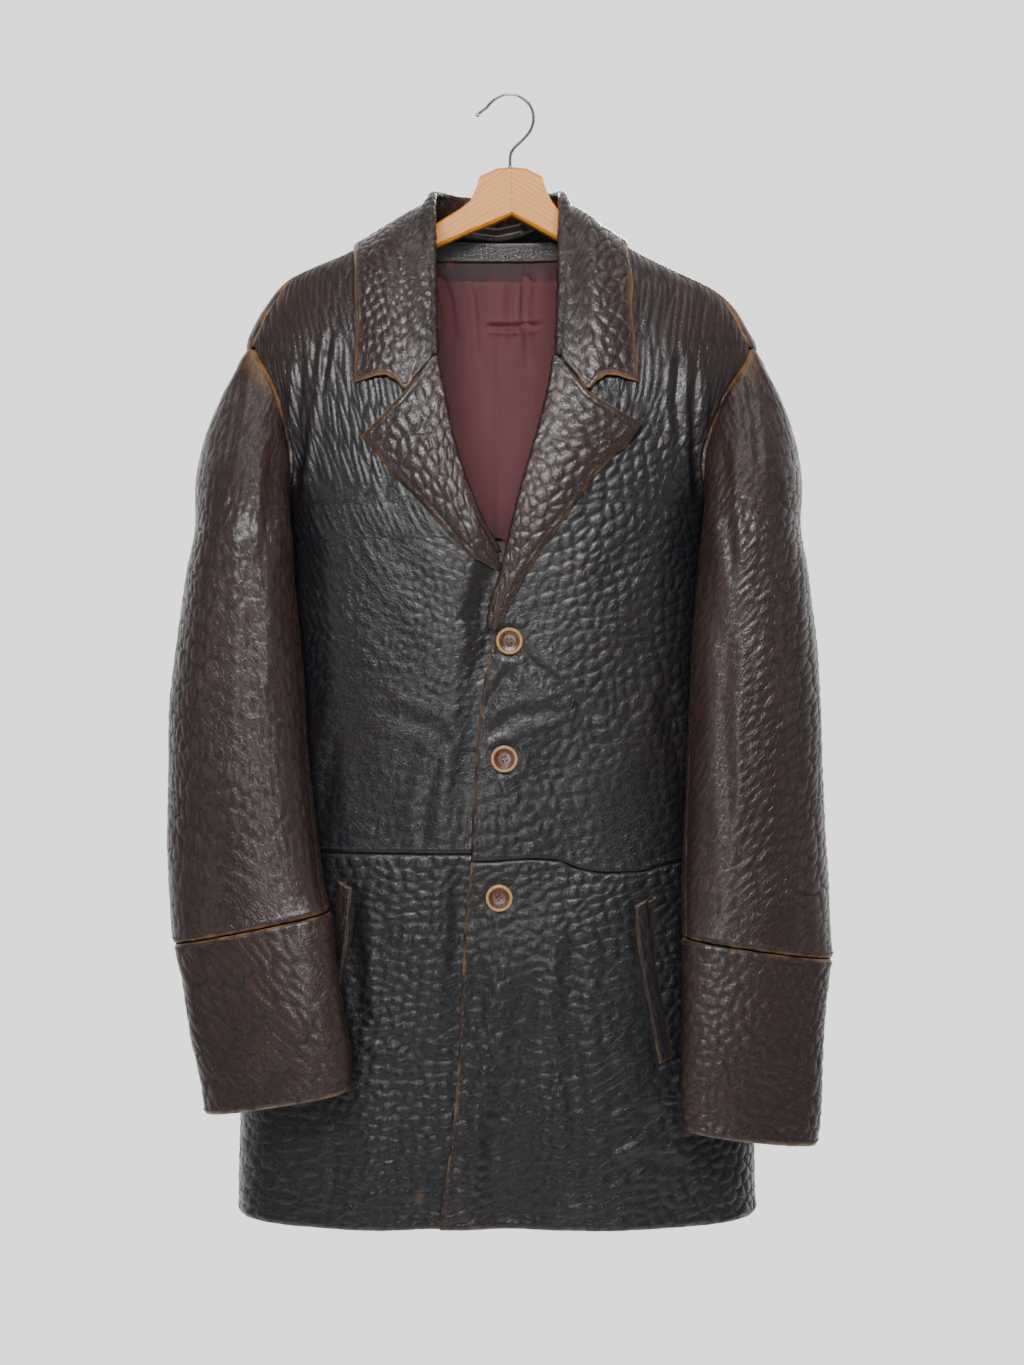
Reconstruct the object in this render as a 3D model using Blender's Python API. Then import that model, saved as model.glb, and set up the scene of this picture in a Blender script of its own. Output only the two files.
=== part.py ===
# Worn leather coat on a wooden hanger with a wire hook.
# Lengths are millimetres in this script and metres in the objects.
# The origin is the underside of the hook's top, the front faces -Y, up is +Z.
# Left and right are as seen from the front; q is the distance outward from the coat's centre line.
import math

import bmesh
import bpy
import numpy as np

MM = 0.001

# Driving sizes
WALL = 2.2
ROLL_WALL = 1.8
THIN_WALL = 1.0
GAP = 0.35
COAT_CENTRE = -12.0
WAIST_Z = -716.0
TIP_Z = -244.0
SHOULDER_SEAM_ANGLE = 74.0
BACK_SEAM_ANGLE = 74.5
ARMPIT_Z = -397.0
BACK_NECK_Z = -133.0
ROLL_HALF = 3.6
ROLL_REACH = 4.5
PANEL_SETBACK = 8.0
LAP_STEP = 3.6
LAP_EXTRA = 3.4
SLEEVE_CLEAR = 2.4
SLEEVE_TUCK = 2.3
ARMPIT_TUCK = 2.0
SLEEVE_HEAD_FULL = 0.16
BUTTON_R = 12.3
BUTTON_THICK = 4.5
BUTTON_TURNS = 18
HOOK_R = 1.6
HANGER_HALF = 6.0

# Torso sections: half width of each side by height
HALF_WIDTH = {
    "left": [(-104, 52), (-110, 66), (-151.8, 138), (-163, 161), (-173.6, 187), (-182, 201.5),
             (-197, 214), (-220, 228), (-245, 236.6), (-270, 231), (-300, 223), (-340, 212),
             (-400, 205), (-500, 203), (-640, 205), (-716, 209), (-800, 222), (-900, 237),
             (-1000, 242), (-1060, 243)],
    "right": [(-104, 50), (-112, 66), (-149, 125), (-166, 156.5), (-179.5, 186), (-194, 212),
              (-209, 226.5), (-229, 238), (-248, 245), (-270, 240), (-300, 229), (-340, 215),
              (-400, 205), (-500, 203), (-640, 205), (-716, 209), (-800, 222), (-900, 237),
              (-1000, 242), (-1060, 243)],
}
FRONT_Y = [(-104, -42), (-150, -57), (-200, -71), (-260, -84), (-340, -95), (-420, -100), (-1060, -101)]
SIDE_Y = [(-104, -4), (-250, -10), (-400, -10), (-1060, -6)]
BACK_Y = [(-104, 28), (-150, 34), (-220, 41), (-320, 45), (-1060, 45)]
FRONT_POWER = [(-104, 2.1), (-250, 2.3), (-400, 2.5), (-720, 2.6), (-1060, 3.1)]
BACK_POWER = [(-104, 2.4), (-300, 3.2), (-1060, 3.6)]

# Largest folds: x from the coat's centre, reach and depth in y
HEM_FOLDS = [(12, 30, 7.0), (105, 34, -3.5), (-118, 30, -3.5), (-70, 22, 2.5)]
CHEST_FOLDS = [(165, 24, -2.0)]
WAIST_FOLDS = [(60, 40, 3.0), (-80, 40, 2.0)]

# Armhole edge of the fronts and of the back by height
ARMHOLE = {
    "left": [(-244, 229), (-252, 226), (-265, 218), (-289, 206), (-319, 196.5), (-355, 190),
             (-372, 190.5), (-385, 195), (-393, 200), (-397, 205)],
    "right": [(-244, 237), (-252, 236), (-265, 229), (-282, 217.7), (-314, 202), (-355, 190),
              (-372, 190.5), (-385, 195), (-393, 200), (-397, 205)],
}
BACK_ARMHOLE_EXTRA = 6.0

# Front opening: fold line above the break, edge below it, both as x from the coat's centre
FOLD = {
    "left": [(-110, 54), (-140, 54), (-200, 54), (-262, 52.3), (-300, 45.5), (-342, 37),
             (-378, 25.7), (-411, 12.2), (-430, 1.5)],
    "right": [(-110, 54), (-140, 54), (-200, 53), (-265, 50), (-287, 47), (-318, 40), (-356, 29.2),
              (-384, 21), (-417, 13), (-438, 8.5), (-469, 0.4), (-505, -9.5), (-517, -9)],
}
EDGE = {
    "left": [(-430, -5), (-470, -24), (-523, -46), (-614, -36), (-716, -30), (-1054, -4)],
    "right": [(-505, -6), (-517, -4.1), (-563, -12), (-615, -17.6), (-670, -21.2), (-723, -23.4),
              (-752, -27), (-829, -31), (-925, -36), (-997, -44), (-1029, -49), (-1054, -51.5)],
}
LEFT_WAIST_LIFT = 1.0
BACK_WAIST_DROP = 1.5
BACK_WAIST_TILT = 2.5
WAIST_BAND = 70.0
WAIST_RIGHT = [(-60, -723), (0, -721), (30, -719), (55, -720.5), (70, -726.5), (96, -732),
               (124, -732), (160, -725), (209, -720)]

# Lapels and collar
LAPEL_OUTER = {
    "left": [(122.4, -336), (95, -370), (67, -400), (40, -430.3), (18, -450), (8, -455)],
    "right": [(133.6, -326), (125.5, -339.3), (109.3, -352.8), (84, -380.7), (65, -408.6),
              (42.7, -438.3), (26.5, -463.5), (15.7, -485), (4, -505), (-2, -514)],
}
LAPEL_FOLD_Z = {"left": (-263, -427.5), "right": (-263, -511.5)}
LAPEL_BULGE = 4.0
LAPEL_FULL_WIDTH = 70.0
LAPEL_END_LIFT = 1.2
LAPEL_ROWS = 12
LAPEL_STEPS = (0.15, 0.3, 0.46, 0.6, 0.74, 0.87, 1.0)
NOTCH = (83.5, -297.0)
NOTCH_STEP = 0.46
BULGE_POWER = 1.2
ROLL_NOSE = 1.2
ROLL_NOSE_SHARE = 0.75
COLLAR_FOLD = [(52.4, -86, -262), (55, -70, -200), (56, -55, -150), (58, -35, -115),
               (58.5, -12, -96), (50, 12, -90.5), (29, 27, -90), (0, 32, -91)]
COLLAR_STAND = {
    "left": [(60, -80, -262), (63, -64, -200), (64, -48, -152), (64, -28, -122),
             (61.5, -8, -115), (52, 14, -120), (32, 26.5, -129), (0, 30, -132.4)],
    "right": [(60, -80, -262), (63, -64, -200), (64, -48, -152), (63.5, -28, -120),
              (61.5, -10, -109), (57, 4, -105.5), (51, 15, -108), (33, 26.5, -125), (0, 30, -132.4)],
}
COLLAR_EDGE = {
    "left": [(131, -92, -286.6), (129, -86, -238), (132, -66, -181), (130, -44, -158),
             (124, -8, -138), (106, 28, -148), (60, 44, -160), (0, 47, -163)],
    "right": [(129, -92, -286), (126, -86, -238), (121, -66, -194), (119, -42, -152),
              (113, -8, -136), (98, 28, -146), (58, 44, -160), (0, 47, -163)],
}
COLLAR_BOTTOM = [(60.5, -267), (71.5, -281), (83, -295.2), (93, -284.3), (104, -280.5),
                 (117, -283.5), (130, -286.6)]
COLLAR_PACE = [(0, 0), (0.3, 0.26), (0.68, 0.55), (1, 1)]
COLLAR_STEPS = [0, 0.05, 0.11, 0.18, 0.26, 0.34, 0.42, 0.5, 0.57, 0.64, 0.71, 0.78, 0.86, 0.93, 1.0]
COLLAR_ARCH = 9.0
COLLAR_BULGE = 4.0
COLLAR_CLEAR = (5.0, 3.0)
COLLAR_REST = (4.6, 2.6)
LEAF_STEPS = (0.12, 0.25, 0.39, 0.52, 0.66, 0.83, 1.0)
LEAF_LIFT = 3.0

# Sleeve rings from the armpit to the cuff seam:
# outer z, tilt to the inner side, outer q, inner q, centre y, half depth
SLEEVE_RINGS = {
    "left": [(-412, -14, 281, 181, -48, 72), (-460, -8, 288.5, 180, -56, 66),
             (-510, -2, 294.5, 176, -63, 60), (-576, 0, 301, 170.5, -70, 56),
             (-650, 2, 302, 165, -76, 53), (-715, 6, 301, 158, -84, 48), (-760, 18, 298, 153, -94, 42),
             (-795, 32, 294, 147, -104, 35)],
    "right": [(-412, -14, 283, 180.5, -48, 72), (-460, -8, 289.5, 177, -56, 66),
              (-515, -4, 294.5, 174, -63, 60), (-576, 0, 298, 172, -70, 56),
              (-650, 2, 299.5, 168.5, -76, 53), (-715, 6, 302.5, 166, -84, 48),
              (-765, 14, 305, 165, -94, 42), (-808, 22, 305, 164.5, -104, 35)],
}
CUFF_RINGS = {
    "left": [(-796, 32, 292.5, 145.5, -106, 34), (-830, 32, 283, 142, -113, 29),
             (-878, 32, 275, 134.5, -118, 27), (-925, 30, 265.5, 127, -119, 26),
             (-946, 26, 262, 126, -119, 26)],
    "right": [(-809, 22, 304, 164, -106, 34), (-850, 22, 297, 163.5, -113, 29),
              (-900, 22, 292.5, 163, -118, 27), (-950, 20, 290.5, 163.5, -119, 26),
              (-973, 18, 288, 164, -119, 26)],
}
SLEEVE_LEAN = 0.16
SLEEVE_POWER = 2.25
SLEEVE_ROUND = 26
ARMPIT_STEP = 15
# Ring columns between the inner and the rear seam, for each panel of the sleeve
UNDER_SLEEVE = (12, 20)
TOP_SLEEVE = (20, 38)
BACK_COLUMNS = 11
SLEEVE_HEAD_STEPS = (0.12, 0.28, 0.45, 0.63, 0.82)

# Welts: inner edge line, then strip width
WELT_LINE = {
    "left": [(131, -746), (134.5, -790), (141, -832), (151, -890)],
    "right": [(124.3, -762), (127, -792), (133, -832), (147, -905)],
}
WELT_WIDTH = 13.0
WELT_DROP = 6.0
WELT_BULGE = 0.5
BUTTONS = [(11.6, -523.0), (7.0, -629.0), (2.4, -754.0)]
BUTTON_LIFT = 0.3
BUTTON_OUTLINE = [(BUTTON_R - 2.5, 0), (BUTTON_R, -1.6), (BUTTON_R - 0.4, -3.9),
                  (BUTTON_R - 1.6, -BUTTON_THICK), (BUTTON_R - 3.2, -3.6),
                  (BUTTON_R - 6.5, -3.0), (1.5, -2.8)]

# Inside of the back: facing, lining and label
FACING_ROWS = [-124.5, -131, -138, -145, -152]
FACING_REACH = 60
FACING_LIFT = 2.0
LINING_ROWS = [-152.6, -170, -200, -240, -290, -345, -400, -460]
LINING_REACH = 110
LINING_LIFT = 1.7
INSIDE_COLUMNS = 13
LABEL_WALL = 0.6
LABEL_ENDS = (-27, 22.5)
LABEL_BAND = (3.5, 13.5)
LABEL_COLUMNS = 9

# Hanger: stations of x, top z and bottom z, then the hook's centre line in x and z
HANGER = [(-208, -186, -193), (-200, -180, -199), (-173, -168, -192), (-150, -157, -181),
          (-112, -139, -164), (-72, -123.5, -146), (-48, -109, -135.5), (-38, -101, -131),
          (-33, -91, -129), (-28.5, -77.5, -127.5), (-12, -70.2, -120.5), (2, -69, -114.5),
          (16, -70.5, -122), (30.5, -78, -130), (36, -94, -133), (41, -102.5, -136),
          (47, -110, -139), (80, -133, -159), (112, -153, -177), (145, -170, -193),
          (174, -184, -206), (200, -200, -219), (208, -208, -216)]
HANGER_ROUND = 2.5
HOOK = [(-30.2, -17.6), (-27, -14.6), (-22.5, -11.4), (-18.5, -6.8), (-11.2, -1.2), (-2.5, 1.6),
        (5, 1.2), (11, -1.4), (16.5, -6), (21, -13.4), (22.5, -22.2), (20.2, -31.7), (15.1, -39),
        (9.3, -44.8), (3.4, -50.6), (0.6, -56), (0, -61), (0, -68.2)]
HOOK_STEPS = 36
HOOK_ROUND = 8

# Heights of the mesh rows, and where the columns of a front lie between its side and its opening
PANEL_SHARES = (0, 0.12, 0.24, 0.36, 0.48, 0.59, 0.69, 0.77, 0.84, 0.89, 0.94, 1)
UPPER_ROWS = [-690, -640, -590, -550, -514, -512.5, -485, -458, -430, -428.5, -415, -405, -397, -393,
              -386, -376, -360, -338, -312, -288, -268, -255, -249, -244, -237, -228, -218, -208, -198,
              -190, -182, -175, -168, -160, -152, -144, -137, -130, -124]
SKIRT_ROWS = [-1054, -1010, -960, -905, -850, -800, -755]
BACK_ROWS = [-660, -600, -530, -460, -420, -405, -397.4, -393, -386, -376, -360, -338, -312, -288, -268,
             -255, -249, -247, -244, -237, -228, -218, -208, -198, -190, -182, -175, -168, -160, -152,
             -144, -137, -130, -124]
BACK_SKIRT_ROWS = [-1054, -985, -915, -845, -775]

LEATHER = (0.030, 0.024, 0.024)
LEATHER_WARM = (0.052, 0.034, 0.028)
LINING = (0.16, 0.035, 0.045)
WOOD = (0.72, 0.40, 0.13)
STEEL = (0.62, 0.63, 0.65)
HORN = (0.10, 0.045, 0.025)
LABEL = (0.012, 0.010, 0.012)


def profile(points):
    # Smooth curve through points without overshoot
    pts = sorted(points)
    xs = np.array([p[0] for p in pts], float)
    ys = np.array([p[1] for p in pts], float)
    h = np.diff(xs)
    d = np.diff(ys) / h
    m = np.zeros(len(xs))
    m[0] = d[0]
    m[-1] = d[-1]
    for i in range(1, len(xs) - 1):
        if d[i - 1] * d[i] > 0:
            w1 = 2 * h[i] + h[i - 1]
            w2 = h[i] + 2 * h[i - 1]
            m[i] = (w1 + w2) / (w1 / d[i - 1] + w2 / d[i])

    def value(x):
        x = np.clip(np.asarray(x, float), xs[0], xs[-1])
        k = np.clip(np.searchsorted(xs, x) - 1, 0, len(h) - 1)
        t = (x - xs[k]) / h[k]
        a = (1 + 2 * t) * (1 - t) ** 2 * ys[k] + t * (1 - t) ** 2 * h[k] * m[k]
        return a + t * t * (3 - 2 * t) * ys[k + 1] + t * t * (t - 1) * h[k] * m[k + 1]

    return value


def curve(points):
    # Smooth curve through points by share of chord length
    pts = np.array(points, float)
    step = np.r_[0, np.cumsum(np.linalg.norm(np.diff(pts, axis=0), axis=1))]
    step = step / step[-1]
    parts = [profile(list(zip(step, pts[:, k]))) for k in range(pts.shape[1])]
    return lambda u: np.stack([part(u) for part in parts], axis=-1)


half_width = {side: profile(HALF_WIDTH[side]) for side in HALF_WIDTH}
armhole = {side: profile(ARMHOLE[side]) for side in ARMHOLE}
fold_line = {side: profile(FOLD[side]) for side in FOLD}
edge_line = {side: profile(EDGE[side]) for side in EDGE}
front_mid = profile(FRONT_Y)
side_mid = profile(SIDE_Y)
back_mid = profile(BACK_Y)
front_power = profile(FRONT_POWER)
back_power = profile(BACK_POWER)
waist_right = profile(WAIST_RIGHT)
SIGN = {"left": -1.0, "right": 1.0}


def smooth(x):
    x = np.clip(x, 0, 1)
    return x * x * (3 - 2 * x)


def drape(x, z):
    # Shift in depth of the largest folds, each table with the heights where it holds
    hem = smooth((-z - 760) / 290)
    chest = smooth((-z - 210) / 70) * smooth((z + 460) / 120)
    waist = smooth((-z - 560) / 90) * smooth((z + 800) / 90)
    depth = 0.0
    for share, folds in ((hem, HEM_FOLDS), (chest, CHEST_FOLDS), (waist, WAIST_FOLDS)):
        for at, reach, deep in folds:
            depth = depth + deep * share * np.exp(-((x - at) / reach) ** 2)
    return depth


def front_y(side, q, z):
    hw = half_width[side](z)
    u = np.clip(np.abs(q) / hw, 0, 1)
    n = front_power(z)
    y = side_mid(z) + (front_mid(z) - side_mid(z)) * (1 - u ** n) ** (1 / n)
    return y + drape(SIGN[side] * q, z) * (1 - u ** 6)


def back_y(side, q, z):
    u = np.clip(np.abs(q) / half_width[side](z), 0, 1)
    n = back_power(z)
    return side_mid(z) + (back_mid(z) - side_mid(z)) * (1 - u ** n) ** (1 / n)


def angle_of(side, q, z):
    return np.degrees(np.arcsin(np.clip(q / half_width[side](z), -1, 1)))


def q_at(side, angle, z):
    return half_width[side](z) * np.sin(np.radians(angle))


def depth_share(angle, n):
    return np.maximum(1 - np.abs(np.sin(np.radians(angle))) ** n, 0) ** (1 / n)


def near_side(gap, depth, n):
    # Angle at which the section is a gap away from the side seam
    return math.degrees(math.asin((1 - (gap / depth) ** n) ** (1 / n)))


def under_lap(q, z):
    # The left front steps back where the right front lies over it
    edge = -np.where(z > -505, fold_line["right"](z), edge_line["right"](z))
    step = LAP_STEP + LAP_EXTRA * smooth((z + 575) / 40)
    return step * smooth((edge + 30 - q) / 26) * smooth((-z - 400) / 30)


def panel_y(side, q, z):
    y = front_y(side, q, z)
    return y + under_lap(q, z) if side == "left" else y


def push_out(side, p, clear, above=0.0):
    # Moves points out of the torso's section to a clear distance
    p = np.array(p, float)
    q, y, z = p[..., 0], p[..., 1], p[..., 2] - above
    mid = side_mid(z)
    front = y < mid
    depth = np.where(front, mid - front_mid(z), back_mid(z) - mid) + clear
    n = np.where(front, front_power(z), back_power(z))
    r = (np.abs(q / (half_width[side](z) + clear)) ** n + np.abs((y - mid) / depth) ** n) ** (1 / n)
    k = np.where(r < 1, 1 / np.maximum(r, 1e-6), 1.0)
    p[..., 0] = q * k
    p[..., 1] = mid + (y - mid) * k
    return p


def place(side, p):
    # From q, y, z of one side to coat millimetres in x, y, z
    p = np.array(p, float)
    p[..., 0] = COAT_CENTRE + SIGN[side] * p[..., 0]
    return p


def make_object(name, verts, faces, colour, rough, metal):
    mesh = bpy.data.meshes.new(name)
    bm = bmesh.new()
    made = [bm.verts.new([c * MM for c in v]) for v in verts]
    for face in faces:
        bm.faces.new([made[i] for i in face])
    bmesh.ops.recalc_face_normals(bm, faces=bm.faces)
    for face in bm.faces:
        face.smooth = True
    bm.to_mesh(mesh)
    bm.free()
    mat = bpy.data.materials.new(name)
    mat.use_nodes = True
    shader = mat.node_tree.nodes["Principled BSDF"]
    shader.inputs["Base Color"].default_value = (*colour, 1.0)
    shader.inputs["Roughness"].default_value = rough
    shader.inputs["Metallic"].default_value = metal
    mesh.materials.append(mat)
    obj = bpy.data.objects.new(name, mesh)
    bpy.context.scene.collection.objects.link(obj)
    return obj


def grid_normals(p, ring):
    if ring:
        du = np.roll(p, -1, axis=1) - np.roll(p, 1, axis=1)
    else:
        du = np.gradient(p, axis=1)
    n = np.cross(du, np.gradient(p, axis=0))
    return n / np.maximum(np.linalg.norm(n, axis=2, keepdims=True), 1e-9)


def shell(name, grid, wall, colour, rough, outward, ring=False, seams=(), normals=None):
    # Closed wall from a grid of outer points, thickened away from the outward side
    p = np.array(grid, float)
    n = grid_normals(p, ring) if normals is None else normals
    for col in seams:
        # Side seams are cut square to the side below the armhole
        low = p[:, col, 2] < ARMPIT_Z + 0.5
        n[low, col, 1] = 0
        n[low, col] /= np.linalg.norm(n[low, col], axis=1, keepdims=True)
    if np.sum(n * outward) < 0:
        n = -n
    rows, cols = p.shape[:2]
    inner = p - n * wall
    verts = np.concatenate([p.reshape(-1, 3), inner.reshape(-1, 3)])
    half = rows * cols
    faces = []
    spans = cols if ring else cols - 1
    for r in range(rows - 1):
        for c in range(spans):
            d = (c + 1) % cols
            a = [r * cols + c, r * cols + d, (r + 1) * cols + d, (r + 1) * cols + c]
            faces.append(a)
            faces.append([i + half for i in reversed(a)])
    for r in (0, rows - 1):
        for c in range(spans):
            d = (c + 1) % cols
            faces.append([r * cols + c, r * cols + d, r * cols + d + half, r * cols + c + half])
    if not ring:
        for c in (0, cols - 1):
            for r in range(rows - 1):
                a, b = r * cols + c, (r + 1) * cols + c
                faces.append([a, b, b + half, a + half])
    return make_object(name, verts.tolist(), faces, colour, rough, 0.0)


def waist_shift(side, q, z):
    # Bends rows near the waist seam to its line
    line = waist_right(q) if side == "right" else WAIST_Z + LEFT_WAIST_LIFT
    return (line - WAIST_Z) * smooth(1 - np.abs(z - WAIST_Z) / WAIST_BAND)


def front_row(side, z, shares):
    # One row of a front panel, from the side or armhole to the opening
    n = float(front_power(z))
    if z > TIP_Z - 0.5:
        outer = SHOULDER_SEAM_ANGLE
    elif z > ARMPIT_Z + 0.5:
        outer = float(angle_of(side, armhole[side](z), z))
    else:
        outer = near_side(GAP / 2, float(side_mid(z) - front_mid(z)), n)
    if z > LAPEL_FOLD_Z[side][1] - 1.2:
        q_in = float(fold_line[side](z)) + PANEL_SETBACK + 9.0 * float(smooth((z + 255) / 60))
    else:
        q_in = float(edge_line[side](z))
    q_in = min(q_in, float(q_at(side, outer, z)) - 4.0)
    inner = float(angle_of(side, q_in, z))
    angle = outer + (inner - outer) * shares
    q = q_at(side, angle, z)
    zz = np.full_like(q, z) + waist_shift(side, q, z)
    q = q_at(side, angle, zz)
    y = side_mid(zz) + (front_mid(zz) - side_mid(zz)) * depth_share(angle, n)
    u = np.abs(q) / half_width[side](zz)
    y = y + drape(SIGN[side] * q, zz) * (1 - np.minimum(u, 1) ** 6)
    if side == "left":
        y = y + under_lap(q, zz)
    return np.stack([q, y, zz], axis=-1)


def make_fronts(side):
    shares = np.array(PANEL_SHARES)
    grid = np.array([front_row(side, z, shares) for z in [WAIST_Z] + UPPER_ROWS])
    grid[0, :, 2] += GAP / 2
    shell("front_upper_" + side, place(side, grid), WALL, LEATHER, 0.42, (0, -1, 0), seams=(0,))
    grid = np.array([front_row(side, z, shares) for z in SKIRT_ROWS + [WAIST_Z]])
    grid[-1, :, 2] -= GAP / 2
    shell("front_skirt_" + side, place(side, grid), WALL, LEATHER, 0.45, (0, -1, 0), seams=(0,))


def back_end(side, z):
    # Angle at which the back panel ends, counted from the front's centre
    n = float(back_power(z))
    if z > TIP_Z - 0.5:
        return BACK_SEAM_ANGLE
    if z < ARMPIT_Z + 0.5:
        return 180 - near_side(GAP, float(back_mid(z) - side_mid(z)), n)
    q = float(armhole[side](z)) + BACK_ARMHOLE_EXTRA * float(smooth((z + 392) / 40))
    q = min(q, 0.985 * float(half_width[side](z)))
    end = 180 - float(angle_of(side, q, z))
    return BACK_SEAM_ANGLE + (end - BACK_SEAM_ANGLE) * float(smooth((TIP_Z - z) / 11))


def section_point(side, angle, z):
    # Point of the torso's section at an angle counted from the front's centre
    if angle <= 90:
        share = float(depth_share(angle, float(front_power(z))))
        y = float(side_mid(z)) + float(front_mid(z) - side_mid(z)) * share
        return [float(q_at(side, angle, z)), y, z]
    share = float(depth_share(180 - angle, float(back_power(z))))
    y = float(side_mid(z)) + float(back_mid(z) - side_mid(z)) * share
    return [float(q_at(side, 180 - angle, z)), y, z]


def neck_dip(q, z):
    # Lowers the top rows at the back neck
    top = smooth((z + 168) / 44)
    share = smooth((78 - np.abs(q)) / 34)
    return (BACK_NECK_Z - UPPER_ROWS[-1]) * top * share


def back_waist_shift(side, q, z):
    # Tilts the rows near the back's waist seam to meet the fronts' seams at the sides
    tilt = -BACK_WAIST_DROP - BACK_WAIST_TILT * SIGN[side] * q / half_width[side](WAIST_Z)
    return float(tilt * smooth(1 - abs(z - WAIST_Z) / WAIST_BAND))


def back_row(z, count):
    row = []
    for side, order in (("left", 1), ("right", -1)):
        end = back_end(side, z)
        part = []
        for k in range(count + 1):
            angle = end + (180 - end) * k / count
            q = section_point(side, angle, z)[0]
            q, y, zz = section_point(side, angle, z + back_waist_shift(side, q, z))
            if angle > 90:
                dip = float(neck_dip(q, z))
                zz = zz + dip
                y = y if dip > -0.05 else float(back_y(side, q, zz))
            part.append(place(side, [q, y, zz]))
        row += part if order > 0 else part[-2::-1]
    return row


def make_back():
    grid = np.array([back_row(z, BACK_COLUMNS) for z in [WAIST_Z] + BACK_ROWS])
    grid[0, :, 2] += GAP / 2
    shell("back_upper", grid, WALL, LEATHER, 0.45, (0, 1, 0), seams=(0, -1))
    grid = np.array([back_row(z, BACK_COLUMNS) for z in BACK_SKIRT_ROWS + [WAIST_Z]])
    grid[-1, :, 2] -= GAP / 2
    shell("back_skirt", grid, WALL, LEATHER, 0.45, (0, 1, 0), seams=(0, -1))


def strip_grid(rows, reach, lift, count):
    # Strip laid on the back panel's inside
    grid = []
    for z in rows:
        row = []
        wide = min(reach, 0.6 * float(half_width["right"](z)))
        for x in np.linspace(-wide, wide, count):
            side = "left" if x < 0 else "right"
            zz = z + float(neck_dip(abs(x), z)) if z > -150 else z
            row.append([COAT_CENTRE + x, float(back_y(side, abs(x), zz)) - lift, zz])
        grid.append(row)
    return np.array(grid)


def make_inside():
    grid = strip_grid(FACING_ROWS, FACING_REACH, WALL + FACING_LIFT, INSIDE_COLUMNS)
    shell("neck_facing", grid, THIN_WALL, LEATHER, 0.5, (0, -1, 0))
    grid = strip_grid(LINING_ROWS, LINING_REACH, WALL + LINING_LIFT, INSIDE_COLUMNS)
    shell("lining_back", grid, THIN_WALL, LINING, 0.5, (0, -1, 0))


def roll_section(stand, fold, crest, across, leaf):
    # Stand edge, roll and leaf in one line of points
    a = fold - crest * ROLL_REACH + across * ROLL_HALF
    b = fold - crest * ROLL_REACH - across * ROLL_HALF
    a2 = fold - crest * ROLL_NOSE + across * ROLL_HALF * ROLL_NOSE_SHARE
    b2 = fold - crest * ROLL_NOSE - across * ROLL_HALF * ROLL_NOSE_SHARE
    return [stand, (stand + a) / 2, a, a2, b2, b] + list(leaf)


def lapel_grid(side, rows, steps):
    # Rows from the collar seam down to the break, each through stand, roll and leaf
    first, last = LAPEL_FOLD_Z[side]
    outer = curve(LAPEL_OUTER[side])
    tip = outer(np.array(0.0))
    notch = np.array(NOTCH)
    top = np.array([float(fold_line[side](first)) + ROLL_REACH, first])
    grid = []
    for v in np.linspace(0, 1, rows):
        z = first + (last - first) * v
        q = float(fold_line[side](z))
        root = q + ROLL_REACH
        fold = np.array([q, float(panel_y(side, root, z)) + WALL / 2, z])
        stand_y = float(panel_y(side, q + PANEL_SETBACK, z)) + WALL / 2
        stand = np.array([q + PANEL_SETBACK, stand_y + ROLL_HALF, z])
        o = outer(np.array(v))
        width = math.hypot(o[0] - q, o[1] - z)
        leaf = []
        for lam in steps:
            if lam < NOTCH_STEP:
                t = top + (notch - top) * lam / NOTCH_STEP
            else:
                t = notch + (tip - notch) * (lam - NOTCH_STEP) / (1 - NOTCH_STEP)
            base = top + (tip - top) * lam
            pq = root + (o[0] - root) * lam + (t[0] - base[0]) * (1 - v) ** 2
            pz = z + (o[1] - z) * lam + (t[1] - base[1]) * (1 - v) ** 2
            bulge = LAPEL_BULGE * min(1.0, width / LAPEL_FULL_WIDTH) * math.sin(math.pi * lam) ** BULGE_POWER
            lift = LEAF_LIFT + bulge + LAPEL_END_LIFT * float(smooth((v - 0.7) / 0.3))
            leaf.append(np.array([pq, float(panel_y(side, pq, pz)) - lift, pz]))
        grid.append(roll_section(stand, fold, np.array([-1.0, 0, 0]), np.array([0, 1.0, 0]), leaf))
    return place(side, grid)


def make_lapel(side):
    grid = lapel_grid(side, LAPEL_ROWS, LAPEL_STEPS)
    shell("lapel_" + side, grid, ROLL_WALL, LEATHER_WARM, 0.38, lapel_hint(grid))


def lapel_hint(grid):
    # Outward direction: leaf to the front, return to the back
    hint = np.zeros_like(grid)
    hint[:, 5:, 1] = -1.0
    hint[:, :2, 1] = 1.0
    return hint


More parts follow.
